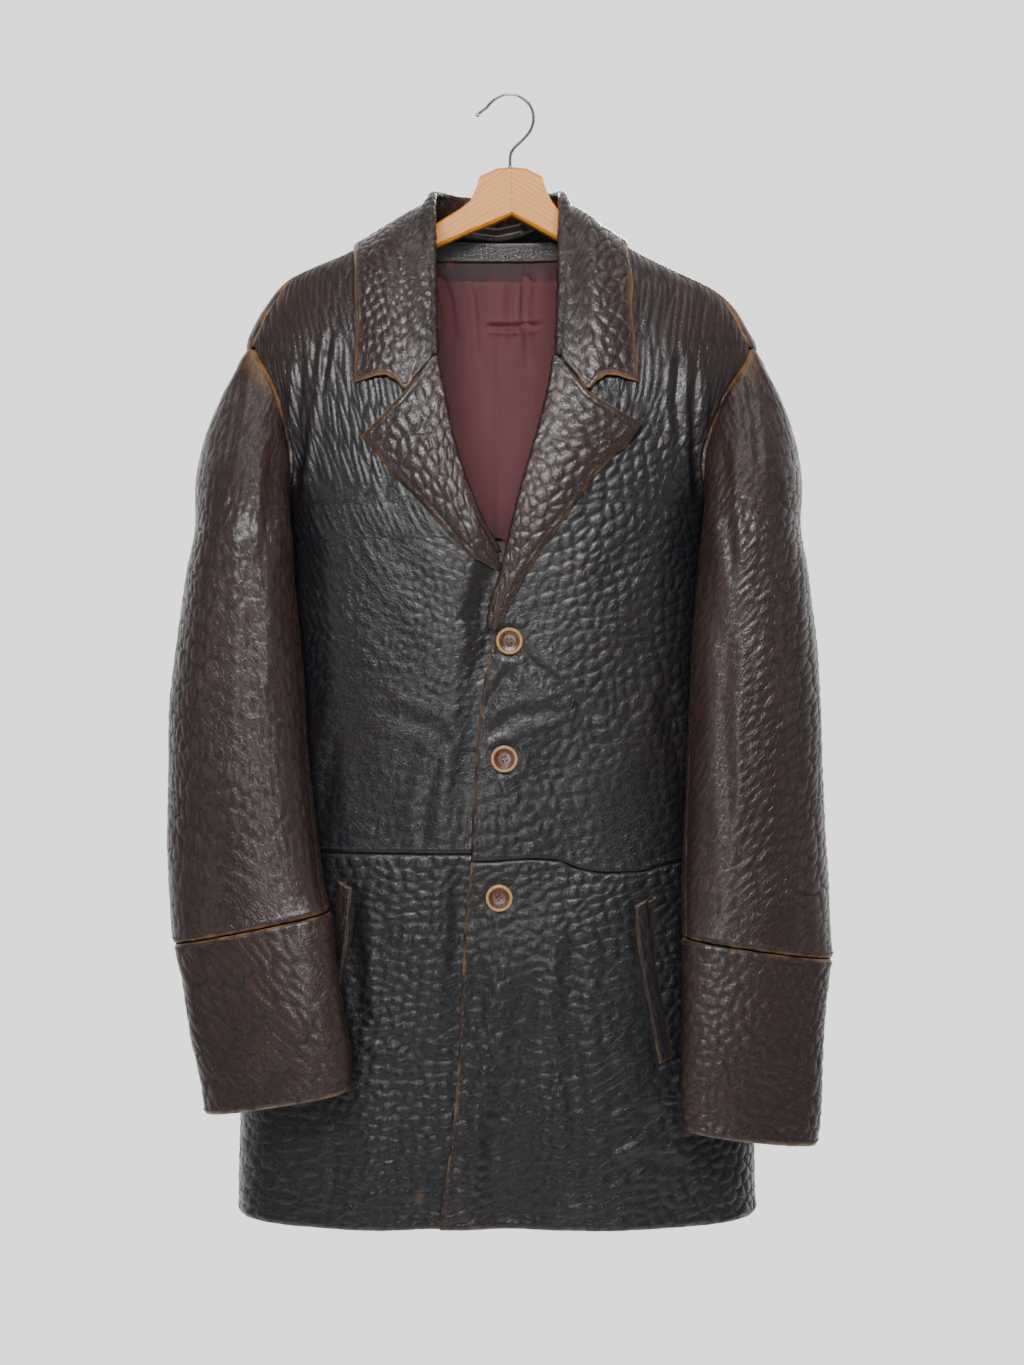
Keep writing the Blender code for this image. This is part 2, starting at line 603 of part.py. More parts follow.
def collar_section(side, s):
    fold = curve(COLLAR_FOLD)
    stand = curve(COLLAR_STAND[side])(np.array(s))
    edge = curve(COLLAR_EDGE[side])(profile(COLLAR_PACE)(s))
    f = fold(np.array(s))
    front = 1 - smooth((s - 0.22) / 0.2)
    if front > 0:
        fy = float(panel_y(side, f[0] + ROLL_REACH, min(f[2], -150.0))) + WALL / 2
        sy = float(panel_y(side, stand[0], min(stand[2], -150.0))) + WALL / 2 + ROLL_HALF
        f[1] = f[1] + (fy - f[1]) * front
        stand[1] = stand[1] + (sy - stand[1]) * front
    tangent = fold(np.array(min(s + 0.02, 1.0))) - fold(np.array(max(s - 0.02, 0.0)))
    tangent = tangent / np.linalg.norm(tangent)
    back_crest = f - (stand + edge) / 2
    crest = np.array([-1.0, 0, 0]) * front + back_crest / np.linalg.norm(back_crest) * (1 - front)
    crest = crest - tangent * np.dot(crest, tangent)
    crest = crest / np.linalg.norm(crest)
    across = np.cross(tangent, crest)
    if np.dot(across, stand - edge) < 0:
        across = -across
    across = across * (1 - front) + np.array([0, 1.0, 0]) * front
    across = across / np.linalg.norm(across)
    b = f - crest * ROLL_REACH - across * ROLL_HALF
    leaf = []
    for k, lam in enumerate(LEAF_STEPS):
        mid = (b + edge) / 2 - across * COLLAR_ARCH
        p = (1 - lam) ** 2 * b + 2 * lam * (1 - lam) * mid + lam * lam * edge
        near = float(1 - smooth(s / 0.16))
        straight = b + (edge - b) * lam
        p[0] = p[0] + (COLLAR_BOTTOM[k][0] - straight[0]) * near
        p[2] = p[2] + (COLLAR_BOTTOM[k][1] - straight[2]) * near
        lift = LEAF_LIFT + COLLAR_BULGE * math.sin(math.pi * lam) ** BULGE_POWER
        on_front = float(front_y(side, p[0], p[2])) - lift
        p[1] = p[1] + (on_front - p[1]) * front
        p = p * front + push_out(side, p, *COLLAR_CLEAR) * (1 - front)
        leaf.append(p)
    return roll_section(stand, f, crest, across, leaf)


def collar_half(side):
    steps = np.array(COLLAR_STEPS)
    grid = np.array([collar_section(side, s) for s in steps])
    leaf = grid[:, 6:]
    for k in range(3):
        mean = (leaf[2:] + leaf[:-2]) / 2
        share = smooth((steps[1:-1] - 0.2) / 0.15)[:, None, None] * 0.5
        leaf[1:-1] = leaf[1:-1] * (1 - share) + mean * share
        late = steps > 0.3
        leaf[late] = push_out(side, leaf[late], *COLLAR_REST)
    return place(side, grid)


def collar_hint(grid):
    # Outward direction: leaf to the front at its two ends, to the back at the nape
    hint = np.zeros_like(grid)
    hint[:4, 6:, 1] = -1.0
    hint[-4:, 6:, 1] = -1.0
    hint[12:17, 8:, 1] = 1.0
    return hint


def make_collar():
    grid = np.concatenate([collar_half("left"), collar_half("right")[-2::-1]])
    shell("collar", grid, ROLL_WALL, LEATHER_WARM, 0.4, collar_hint(grid))
    return grid


def label_grid(collar, columns):
    # Band across the inside of the collar's stand at the nape
    mid = len(collar) // 2
    low, high = [], []
    for row in collar[mid - 4:mid + 5]:
        along = (row[2] - row[0]) / np.linalg.norm(row[2] - row[0])
        low.append(row[0] + along * LABEL_BAND[0])
        high.append(row[0] + along * LABEL_BAND[1])
    grid = []
    for x in np.linspace(*LABEL_ENDS, columns) + COAT_CENTRE:
        grid.append([[x] + [np.interp(x, np.array(e)[:, 0], np.array(e)[:, k]) for k in (1, 2)]
                     for e in (low, high)])
    grid = np.array(grid)
    grid[..., 1] = grid[..., 1] - GAP - LABEL_WALL
    return grid


def make_label(collar):
    shell("label", label_grid(collar, LABEL_COLUMNS), LABEL_WALL, LABEL, 0.7, (0, -1, 0))


def armhole_loop(side):
    # Closed line round the armhole: over the ridge, down the front, up the back
    front = []
    for z in [r for r in UPPER_ROWS[::-1] if ARMPIT_Z <= r <= TIP_Z]:
        front.append(front_row(side, z, np.array([0.0, 1.0]))[0])
    back = []
    for z in [r for r in BACK_ROWS if ARMPIT_Z <= r <= TIP_Z]:
        back.append(section_point(side, back_end(side, z), z))
    back = np.array(back)
    front = np.array(front)
    ridge = len(back) - 3
    top = back[ridge:]
    loop_front = np.concatenate([top, front])
    loop_back = back[:ridge + 1]
    a = curve_length(loop_front, ARMPIT_STEP + 1)
    b = curve_length(loop_back, SLEEVE_ROUND - ARMPIT_STEP + 1)
    return np.concatenate([a[:-1], b[:-1]])


def curve_length(points, count):
    step = np.r_[0, np.cumsum(np.linalg.norm(np.diff(points, axis=0), axis=1))]
    want = np.linspace(0, step[-1], count)
    return np.stack([np.interp(want, step, points[:, k]) for k in range(3)], axis=-1)


def ring_points(side, ring, count, clear):
    z_out, tilt, q_out, q_in, y_mid, depth = ring
    mid = (q_out + q_in) / 2
    half = (q_out - q_in) / 2
    pts = []
    for k in range(count):
        a = 2 * math.pi * k / count
        c, s = math.cos(a), math.sin(a)
        u = math.copysign(abs(c) ** (2 / SLEEVE_POWER), c)
        w = math.copysign(abs(s) ** (2 / SLEEVE_POWER), s)
        y = y_mid - depth * w + SLEEVE_LEAN * half * u
        pts.append([mid + half * u, y, z_out + tilt * (1 - u) / 2])
    pts = push_out(side, np.array(pts), clear)
    for k in range(2):
        pts = pts * 0.5 + (np.roll(pts, 1, axis=0) + np.roll(pts, -1, axis=0)) * 0.25
    return push_out(side, pts, clear)


def sleeve_grid(side):
    # Rings from the armhole down to the cuff seam, in q, y, z
    loop = armhole_loop(side)
    inward = loop.mean(axis=0) - loop
    inward = inward / np.linalg.norm(inward, axis=1, keepdims=True)
    start = loop + inward * SLEEVE_TUCK
    start[:, 0] = start[:, 0] + ARMPIT_TUCK * smooth((-loop[:, 2] - 340) / 40)
    rings = SLEEVE_RINGS[side]
    goal = ring_points(side, rings[0], SLEEVE_ROUND, SLEEVE_CLEAR)
    span = np.linalg.norm(goal - start, axis=1, keepdims=True)
    angle = 2 * np.pi * np.arange(SLEEVE_ROUND) / SLEEVE_ROUND
    out = np.stack([np.maximum(np.cos(angle), 0) + 0.15, -np.sin(angle), np.zeros(SLEEVE_ROUND)], axis=-1)
    control = (start + goal) / 2 + out * span * SLEEVE_HEAD_FULL
    grid = [start]
    for t in SLEEVE_HEAD_STEPS:
        p = (1 - t) ** 2 * start + 2 * t * (1 - t) * control + t * t * goal
        grid.append(push_out(side, p, SLEEVE_CLEAR * min(1.0, 0.6 + 2 * t)))
    for ring in rings:
        grid.append(ring_points(side, ring, SLEEVE_ROUND, SLEEVE_CLEAR))
    return np.array(grid)


def cuff_grid(side):
    return np.array([ring_points(side, ring, SLEEVE_ROUND, SLEEVE_CLEAR) for ring in CUFF_RINGS[side]])


def tube_hint(side, grid):
    # Outward direction of a tube's rings
    hint = grid - grid.mean(axis=1, keepdims=True)
    hint[..., 0] = hint[..., 0] * SIGN[side]
    return hint


def make_sleeve(side):
    grid = sleeve_grid(side)
    hint = tube_hint(side, grid)
    grid = place(side, grid)
    normals = grid_normals(grid, True)
    along = np.roll(grid, -1, axis=1) - np.roll(grid, 1, axis=1)
    along = along / np.linalg.norm(along, axis=2, keepdims=True)
    for part, cols in (("top_sleeve_", TOP_SLEEVE), ("under_sleeve_", UNDER_SLEEVE)):
        pick = [k % SLEEVE_ROUND for k in range(cols[0], cols[1] + 1)]
        panel = grid[:, pick]
        panel[:, 0] = panel[:, 0] + along[:, pick[0]] * GAP / 2
        panel[:, -1] = panel[:, -1] - along[:, pick[-1]] * GAP / 2
        shell(part + side, panel, WALL, LEATHER_WARM, 0.42, hint[:, pick], normals=normals[:, pick])


def make_cuff(side):
    grid = cuff_grid(side)
    shell("cuff_" + side, place(side, grid), WALL, LEATHER_WARM, 0.45, tube_hint(side, grid), ring=True)


def welt_grid(side, rows, columns):
    line = curve(WELT_LINE[side])
    grid = []
    for v in np.linspace(0, 1, rows):
        q, z = line(np.array(v))
        row = []
        for w in np.linspace(0, 1, columns):
            pq = q + WELT_WIDTH * w
            pz = z + WELT_DROP * w
            lift = WALL + GAP + WELT_BULGE * math.sin(math.pi * w)
            row.append([pq, float(front_y(side, pq, pz)) - lift, pz])
        grid.append(row)
    return place(side, grid)


def make_welt(side):
    shell("pocket_welt_" + side, welt_grid(side, 8, 3), WALL, LEATHER, 0.45, (0, -1, 0))


def lathe(name, outline, centre, tilt, colour, rough):
    # Turned piece about an axis along -Y, outline as radius and depth
    turns = BUTTON_TURNS
    verts = []
    faces = []
    for r, d in outline:
        for k in range(turns):
            a = 2 * math.pi * k / turns
            x, z = r * math.cos(a), r * math.sin(a)
            verts.append([centre[0] + x, centre[1] + d + tilt * x, centre[2] + z])
    for j in range(len(outline) - 1):
        for k in range(turns):
            m = (k + 1) % turns
            faces.append([j * turns + k, j * turns + m, (j + 1) * turns + m, (j + 1) * turns + k])
    last = (len(outline) - 1) * turns
    faces.append(list(range(turns)))
    faces.append([last + k for k in range(turns)])
    return make_object(name, verts, faces, colour, rough, 0.0)


def button_place(k):
    # Centre of a button's back and how its front lies across
    x, z = BUTTONS[k]
    slope = float(front_y("right", x + 10, z) - front_y("right", x - 10, z)) / 20
    return [COAT_CENTRE + x, float(front_y("right", x, z)) - GAP - BUTTON_LIFT, z], slope


def make_buttons():
    for k in range(len(BUTTONS)):
        centre, slope = button_place(k)
        lathe("button_" + str(k + 1), BUTTON_OUTLINE, centre, slope, HORN, 0.3)


def make_hanger():
    # Wooden hanger: rounded rectangle sections along X
    r = HANGER_ROUND
    verts = []
    faces = []
    for x, top, bottom in HANGER:
        h = HANGER_HALF
        pts = [(-h + r, top), (h - r, top), (h, top - r), (h, bottom + r), (h - r, bottom),
               (-h + r, bottom), (-h, bottom + r), (-h, top - r)]
        verts += [[x, y, z] for y, z in pts]
    for j in range(len(HANGER) - 1):
        for k in range(8):
            m = (k + 1) % 8
            faces.append([j * 8 + k, j * 8 + m, (j + 1) * 8 + m, (j + 1) * 8 + k])
    last = (len(HANGER) - 1) * 8
    faces.append(list(range(8)))
    faces.append([last + k for k in range(8)])
    make_object("hanger_wood", verts, faces, WOOD, 0.45, 0.0)


def make_hook():
    line = curve([(x, 0, z) for x, z in HOOK])
    verts = []
    faces = []
    for j in range(HOOK_STEPS + 1):
        s = j / HOOK_STEPS
        p = line(np.array(s))
        t = line(np.array(min(s + 0.01, 1))) - line(np.array(max(s - 0.01, 0)))
        t = t / np.linalg.norm(t)
        side = np.array([-t[2], 0, t[0]])
        for k in range(HOOK_ROUND):
            a = 2 * math.pi * k / HOOK_ROUND
            verts.append(list(p + HOOK_R * (math.cos(a) * side + math.sin(a) * np.array([0, 1.0, 0]))))
    for j in range(HOOK_STEPS):
        for k in range(HOOK_ROUND):
            m = (k + 1) % HOOK_ROUND
            faces.append([j * HOOK_ROUND + k, j * HOOK_ROUND + m, (j + 1) * HOOK_ROUND + m,
                          (j + 1) * HOOK_ROUND + k])
    last = HOOK_STEPS * HOOK_ROUND
    faces.append(list(range(HOOK_ROUND)))
    faces.append([last + k for k in range(HOOK_ROUND)])
    make_object("hanger_hook", verts, faces, STEEL, 0.25, 1.0)


for old in list(bpy.data.objects):
    bpy.data.objects.remove(old, do_unlink=True)

for name in ("left", "right"):
    make_fronts(name)
    make_sleeve(name)
    make_cuff(name)
    make_lapel(name)
    make_welt(name)
make_back()
collar_grid = make_collar()
make_label(collar_grid)
make_inside()
make_buttons()
make_hanger()
make_hook()
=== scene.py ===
# Looks of a worn leather coat on its wooden hanger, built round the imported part.
# Cloth is laid on the part's own sections in millimetres; left and right are as seen from the front.
# q is the distance outward from the coat's centre line.
import math
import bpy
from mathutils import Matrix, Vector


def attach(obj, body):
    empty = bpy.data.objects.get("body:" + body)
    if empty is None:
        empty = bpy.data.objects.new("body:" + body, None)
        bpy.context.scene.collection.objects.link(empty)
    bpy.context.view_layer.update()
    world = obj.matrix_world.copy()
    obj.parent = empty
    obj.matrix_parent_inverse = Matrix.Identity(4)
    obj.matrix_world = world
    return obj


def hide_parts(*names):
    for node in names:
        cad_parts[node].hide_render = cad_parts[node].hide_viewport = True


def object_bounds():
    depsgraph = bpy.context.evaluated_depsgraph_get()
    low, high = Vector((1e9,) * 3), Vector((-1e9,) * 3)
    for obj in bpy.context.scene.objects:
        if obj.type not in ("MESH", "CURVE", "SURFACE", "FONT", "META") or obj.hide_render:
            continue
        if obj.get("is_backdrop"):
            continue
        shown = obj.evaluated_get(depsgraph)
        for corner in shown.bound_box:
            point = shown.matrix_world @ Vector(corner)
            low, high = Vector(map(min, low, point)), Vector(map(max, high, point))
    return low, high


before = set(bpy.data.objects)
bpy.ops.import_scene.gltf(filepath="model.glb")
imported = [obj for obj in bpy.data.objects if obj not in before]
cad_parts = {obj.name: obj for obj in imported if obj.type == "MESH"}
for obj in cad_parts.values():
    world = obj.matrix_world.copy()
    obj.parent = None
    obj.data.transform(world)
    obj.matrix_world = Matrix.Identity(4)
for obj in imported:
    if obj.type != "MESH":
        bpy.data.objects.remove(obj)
start_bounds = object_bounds()

from types import SimpleNamespace

import bpy
import numpy as np

MM = 0.001

# Driving sizes
WALL = 2.2
ROLL_WALL = 1.8
THIN_WALL = 1.0
GAP = 0.35
COAT_CENTRE = -12.0
WAIST_Z = -716.0
HEM_Z = -1054.0
TOP_Z = -124.0
TIP_Z = -244.0
SHOULDER_SEAM_ANGLE = 74.0
BACK_SEAM_ANGLE = 74.5
ARMPIT_Z = -397.0
BACK_NECK_Z = -133.0
ROLL_HALF = 3.6
ROLL_REACH = 4.5
PANEL_SETBACK = 8.0
LAP_STEP = 3.6
LAP_EXTRA = 3.4
SLEEVE_CLEAR = 2.4
SLEEVE_TUCK = 2.3
ARMPIT_TUCK = 2.0
SLEEVE_HEAD_FULL = 0.16

# Torso sections: half width of each side by height
LOWER_WIDTH = [(-400, 205), (-500, 203), (-640, 205), (-716, 209), (-800, 222), (-900, 237), (-1000, 242),
               (-1060, 243)]
HALF_WIDTH = {
    "left": [(-104, 52), (-110, 66), (-151.8, 138), (-163, 161), (-173.6, 187), (-182, 201.5),
             (-197, 214), (-220, 228), (-245, 236.6), (-270, 231), (-300, 223), (-340, 212)] + LOWER_WIDTH,
    "right": [(-104, 50), (-112, 66), (-149, 125), (-166, 156.5), (-179.5, 186), (-194, 212),
              (-209, 226.5), (-229, 238), (-248, 245), (-270, 240), (-300, 229), (-340, 215)] + LOWER_WIDTH,
}
FRONT_Y = [(-104, -42), (-150, -57), (-200, -71), (-260, -84), (-340, -95), (-420, -100), (-1060, -101)]
SIDE_Y = [(-104, -4), (-250, -10), (-400, -10), (-1060, -6)]
BACK_Y = [(-104, 28), (-150, 34), (-220, 41), (-320, 45), (-1060, 45)]
FRONT_POWER = [(-104, 2.1), (-250, 2.3), (-400, 2.5), (-720, 2.6), (-1060, 3.1)]
BACK_POWER = [(-104, 2.4), (-300, 3.2), (-1060, 3.6)]

# Largest folds: x from the coat's centre, reach and depth in y
HEM_FOLDS = [(12, 30, 7.0), (105, 34, -3.5), (-118, 30, -3.5), (-70, 22, 2.5)]
CHEST_FOLDS = [(165, 24, -2.0)]
WAIST_FOLDS = [(60, 40, 3.0), (-80, 40, 2.0)]

# Armhole edge of the fronts and of the back by height
ARMPIT_CURVE = [(-355, 190), (-372, 190.5), (-385, 195), (-393, 200), (-397, 205)]
ARMHOLE = {
    "left": [(-244, 229), (-252, 226), (-265, 218), (-289, 206), (-319, 196.5)] + ARMPIT_CURVE,
    "right": [(-244, 237), (-252, 236), (-265, 229), (-282, 217.7), (-314, 202)] + ARMPIT_CURVE,
}
BACK_ARMHOLE_EXTRA = 6.0

# Front opening: fold line above the break, edge below it, both as x from the coat's centre
FOLD = {
    "left": [(-110, 54), (-140, 54), (-200, 54), (-262, 52.3), (-300, 45.5), (-342, 37),
             (-378, 25.7), (-411, 12.2), (-430, 1.5)],
    "right": [(-110, 54), (-140, 54), (-200, 53), (-265, 50), (-287, 47), (-318, 40), (-356, 29.2),
              (-384, 21), (-417, 13), (-438, 8.5), (-469, 0.4), (-505, -9.5), (-517, -9)],
}
EDGE = {
    "left": [(-430, -5), (-470, -24), (-523, -46), (-614, -36), (-716, -30), (-1054, -4)],
    "right": [(-505, -6), (-517, -4.1), (-563, -12), (-615, -17.6), (-670, -21.2), (-723, -23.4),
              (-752, -27), (-829, -31), (-925, -36), (-997, -44), (-1029, -49), (-1054, -51.5)],
}
LEFT_WAIST_LIFT = 1.0
BACK_WAIST_DROP = 1.5
BACK_WAIST_TILT = 2.5
WAIST_BAND = 70.0
WAIST_RIGHT = [(-60, -723), (0, -721), (30, -719), (55, -720.5), (70, -726.5), (96, -732),
               (124, -732), (160, -725), (209, -720)]

# Lapels and collar
LAPEL_OUTER = {
    "left": [(122.4, -336), (95, -370), (67, -400), (40, -430.3), (18, -450), (8, -455)],
    "right": [(133.6, -326), (125.5, -339.3), (109.3, -352.8), (84, -380.7), (65, -408.6),
              (42.7, -438.3), (26.5, -463.5), (15.7, -485), (4, -505), (-2, -514)],
}
LAPEL_FOLD_Z = {"left": (-263, -427.5), "right": (-263, -511.5)}
LAPEL_BULGE = 4.0
LAPEL_FULL_WIDTH = 70.0
LAPEL_END_LIFT = 1.2
LAPEL_ROWS = 12
LAPEL_STEPS = (0.15, 0.3, 0.46, 0.6, 0.74, 0.87, 1.0)
NOTCH = (83.5, -297.0)
NOTCH_STEP = 0.46
BULGE_POWER = 1.2
ROLL_NOSE = 1.2
ROLL_NOSE_SHARE = 0.75
COLLAR_FOLD = [(52.4, -86, -262), (55, -70, -200), (56, -55, -150), (58, -35, -115),
               (58.5, -12, -96), (50, 12, -90.5), (29, 27, -90), (0, 32, -91)]
COLLAR_STAND = {
    "left": [(60, -80, -262), (63, -64, -200), (64, -48, -152), (64, -28, -122),
             (61.5, -8, -115), (52, 14, -120), (32, 26.5, -129), (0, 30, -132.4)],
    "right": [(60, -80, -262), (63, -64, -200), (64, -48, -152), (63.5, -28, -120),
              (61.5, -10, -109), (57, 4, -105.5), (51, 15, -108), (33, 26.5, -125), (0, 30, -132.4)],
}
COLLAR_EDGE = {
    "left": [(131, -92, -286.6), (129, -86, -238), (132, -66, -181), (130, -44, -158),
             (124, -8, -138), (106, 28, -148), (60, 44, -160), (0, 47, -163)],
    "right": [(129, -92, -286), (126, -86, -238), (121, -66, -194), (119, -42, -152),
              (113, -8, -136), (98, 28, -146), (58, 44, -160), (0, 47, -163)],
}
COLLAR_BOTTOM = [(60.5, -267), (71.5, -281), (83, -295.2), (93, -284.3), (104, -280.5),
                 (117, -283.5), (130, -286.6)]
COLLAR_PACE = [(0, 0), (0.3, 0.26), (0.68, 0.55), (1, 1)]
COLLAR_STEPS = [0, 0.05, 0.11, 0.18, 0.26, 0.34, 0.42, 0.5, 0.57, 0.64, 0.71, 0.78, 0.86, 0.93, 1.0]
COLLAR_ARCH = 9.0
COLLAR_BULGE = 4.0
COLLAR_CLEAR = (5.0, 3.0)
COLLAR_REST = (4.6, 2.6)
LEAF_STEPS = (0.12, 0.25, 0.39, 0.52, 0.66, 0.83, 1.0)
LEAF_LIFT = 3.0

# Sleeve rings from the armpit to the cuff seam:
# outer z, tilt to the inner side, outer q, inner q, centre y, half depth
SLEEVE_RINGS = {
    "left": [(-412, -14, 281, 181, -48, 72), (-460, -8, 288.5, 180, -56, 66),
             (-510, -2, 294.5, 176, -63, 60), (-576, 0, 301, 170.5, -70, 56),
             (-650, 2, 302, 165, -76, 53), (-715, 6, 301, 158, -84, 48), (-760, 18, 298, 153, -94, 42),
             (-795, 32, 294, 147, -104, 35)],
    "right": [(-412, -14, 283, 180.5, -48, 72), (-460, -8, 289.5, 177, -56, 66),
              (-515, -4, 294.5, 174, -63, 60), (-576, 0, 298, 172, -70, 56),
              (-650, 2, 299.5, 168.5, -76, 53), (-715, 6, 302.5, 166, -84, 48),
              (-765, 14, 305, 165, -94, 42), (-808, 22, 305, 164.5, -104, 35)],
}
CUFF_RINGS = {
    "left": [(-796, 32, 292.5, 145.5, -106, 34), (-830, 32, 283, 142, -113, 29),
             (-878, 32, 275, 134.5, -118, 27), (-925, 30, 265.5, 127, -119, 26),
             (-946, 26, 262, 126, -119, 26)],
    "right": [(-809, 22, 304, 164, -106, 34), (-850, 22, 297, 163.5, -113, 29),
              (-900, 22, 292.5, 163, -118, 27), (-950, 20, 290.5, 163.5, -119, 26),
              (-973, 18, 288, 164, -119, 26)],
}
SLEEVE_LEAN = 0.16
SLEEVE_POWER = 2.25
SLEEVE_ROUND = 26
ARMPIT_STEP = 15
# Ring columns between the inner and the rear seam, for each panel of the sleeve
UNDER_SLEEVE = (12, 20)
TOP_SLEEVE = (20, 38)
SLEEVE_HEAD_STEPS = (0.12, 0.28, 0.45, 0.63, 0.82)

# Welts: inner edge line, then strip width
WELT_LINE = {
    "left": [(131, -746), (134.5, -790), (141, -832), (151, -890)],
    "right": [(124.3, -762), (127, -792), (133, -832), (147, -905)],
}
WELT_WIDTH = 13.0
WELT_DROP = 6.0
WELT_BULGE = 0.5
BUTTONS = [(11.6, -523.0), (7.0, -629.0), (2.4, -754.0)]
BUTTON_LIFT = 0.3

# Inside of the back: facing, lining and label
FACING_ROWS = [-124.5, -131, -138, -145, -152]
FACING_REACH = 60
FACING_LIFT = 2.0
LINING_ROWS = [-152.6, -170, -200, -240, -290, -345, -400, -460]
LINING_REACH = 110
LINING_LIFT = 1.7
INSIDE_COLUMNS = 13
LABEL_WALL = 0.6
LABEL_ENDS = (-27, 22.5)
LABEL_BAND = (3.5, 13.5)

# End of the hook's wire, and the hook's collar on the wood, in x and z
HOOK_END = (-30.2, -17.6)
HOOK_COLLAR = (0.0, -69.6)

# Rise of the hanger's arms for each unit along
ARM_SLOPE = 0.62

# Heights of the rows round the armhole, on the fronts and on the back
FRONT_ARM_ROWS = (-397, -393, -386, -376, -360, -338, -312, -288, -268, -255, -249, -244)
BACK_ARM_ROWS = (-393, -386, -376, -360, -338, -312, -288, -268, -255, -249, -247, -244)



def profile(points):
    # Smooth curve through points without overshoot
    pts = sorted(points)
    xs = np.array([p[0] for p in pts], float)
    ys = np.array([p[1] for p in pts], float)
    h = np.diff(xs)
    d = np.diff(ys) / h
    m = np.zeros(len(xs))
    m[0] = d[0]
    m[-1] = d[-1]
    for i in range(1, len(xs) - 1):
        if d[i - 1] * d[i] > 0:
            w1 = 2 * h[i] + h[i - 1]
            w2 = h[i] + 2 * h[i - 1]
            m[i] = (w1 + w2) / (w1 / d[i - 1] + w2 / d[i])

    def value(x):
        x = np.clip(np.asarray(x, float), xs[0], xs[-1])
        k = np.clip(np.searchsorted(xs, x) - 1, 0, len(h) - 1)
        t = (x - xs[k]) / h[k]
        a = (1 + 2 * t) * (1 - t) ** 2 * ys[k] + t * (1 - t) ** 2 * h[k] * m[k]
        return a + t * t * (3 - 2 * t) * ys[k + 1] + t * t * (t - 1) * h[k] * m[k + 1]

    return value


def curve(points):
    # Smooth curve through points by share of chord length
    pts = np.array(points, float)
    step = np.r_[0, np.cumsum(np.linalg.norm(np.diff(pts, axis=0), axis=1))]
    step = step / step[-1]
    parts = [profile(list(zip(step, pts[:, k]))) for k in range(pts.shape[1])]
    return lambda u: np.stack([part(u) for part in parts], axis=-1)


half_width = {side: profile(HALF_WIDTH[side]) for side in HALF_WIDTH}
armhole = {side: profile(ARMHOLE[side]) for side in ARMHOLE}
fold_line = {side: profile(FOLD[side]) for side in FOLD}
edge_line = {side: profile(EDGE[side]) for side in EDGE}
front_mid = profile(FRONT_Y)
side_mid = profile(SIDE_Y)
back_mid = profile(BACK_Y)
front_power = profile(FRONT_POWER)
back_power = profile(BACK_POWER)
waist_right = profile(WAIST_RIGHT)
SIGN = {"left": -1.0, "right": 1.0}


def smooth(x):
    x = np.clip(x, 0, 1)
    return x * x * (3 - 2 * x)


def drape(x, z):
    # Shift in depth of the largest folds, each table with the heights where it holds
    hem = smooth((-z - 760) / 290)
    chest = smooth((-z - 210) / 70) * smooth((z + 460) / 120)
    waist = smooth((-z - 560) / 90) * smooth((z + 800) / 90)
    depth = 0.0
    for share, folds in ((hem, HEM_FOLDS), (chest, CHEST_FOLDS), (waist, WAIST_FOLDS)):
        for at, reach, deep in folds:
            depth = depth + deep * share * np.exp(-((x - at) / reach) ** 2)
    return depth


def front_y(side, q, z):
    # Depth of the front's section, with its folds
    hw = half_width[side](z)
    u = np.clip(np.abs(q) / hw, 0, 1)
    n = front_power(z)
    y = side_mid(z) + (front_mid(z) - side_mid(z)) * (1 - u ** n) ** (1 / n)
    return y + drape(SIGN[side] * q, z) * (1 - u ** 6)


def back_y(side, q, z):
    # Depth of the back's section
    u = np.clip(np.abs(q) / half_width[side](z), 0, 1)
    n = back_power(z)
    return side_mid(z) + (back_mid(z) - side_mid(z)) * (1 - u ** n) ** (1 / n)


def angle_of(side, q, z):
    return np.degrees(np.arcsin(np.clip(q / half_width[side](z), -1, 1)))


def q_at(side, angle, z):
    return half_width[side](z) * np.sin(np.radians(angle))


def depth_share(angle, n):
    return np.maximum(1 - np.abs(np.sin(np.radians(angle))) ** n, 0) ** (1 / n)


def near_side(gap, depth, n):
    # Angle at which the section is a gap away from the side seam
    return math.degrees(math.asin((1 - (gap / depth) ** n) ** (1 / n)))


def under_lap(q, z):
    # The left front steps back where the right front lies over it
    edge = -np.where(z > -505, fold_line["right"](z), edge_line["right"](z))
    step = LAP_STEP + LAP_EXTRA * smooth((z + 575) / 40)
    return step * smooth((edge + 30 - q) / 26) * smooth((-z - 400) / 30)


def panel_y(side, q, z):
    y = front_y(side, q, z)
    return y + under_lap(q, z) if side == "left" else y


def push_out(side, p, clear, above=0.0):
    # Moves points out of the torso's section to a clear distance
    p = np.array(p, float)
    q, y, z = p[..., 0], p[..., 1], p[..., 2] - above
    mid = side_mid(z)
    front = y < mid
    depth = np.where(front, mid - front_mid(z), back_mid(z) - mid) + clear
    n = np.where(front, front_power(z), back_power(z))
    r = (np.abs(q / (half_width[side](z) + clear)) ** n + np.abs((y - mid) / depth) ** n) ** (1 / n)
    k = np.where(r < 1, 1 / np.maximum(r, 1e-6), 1.0)
    p[..., 0] = q * k
    p[..., 1] = mid + (y - mid) * k
    return p


def place(side, p):
    # From q, y, z of one side to coat millimetres in x, y, z
    p = np.array(p, float)
    p[..., 0] = COAT_CENTRE + SIGN[side] * p[..., 0]
    return p


def waist_shift(side, q, z):
    # Bends rows near the waist seam to its line
    line = waist_right(q) if side == "right" else WAIST_Z + LEFT_WAIST_LIFT
    return (line - WAIST_Z) * smooth(1 - np.abs(z - WAIST_Z) / WAIST_BAND)


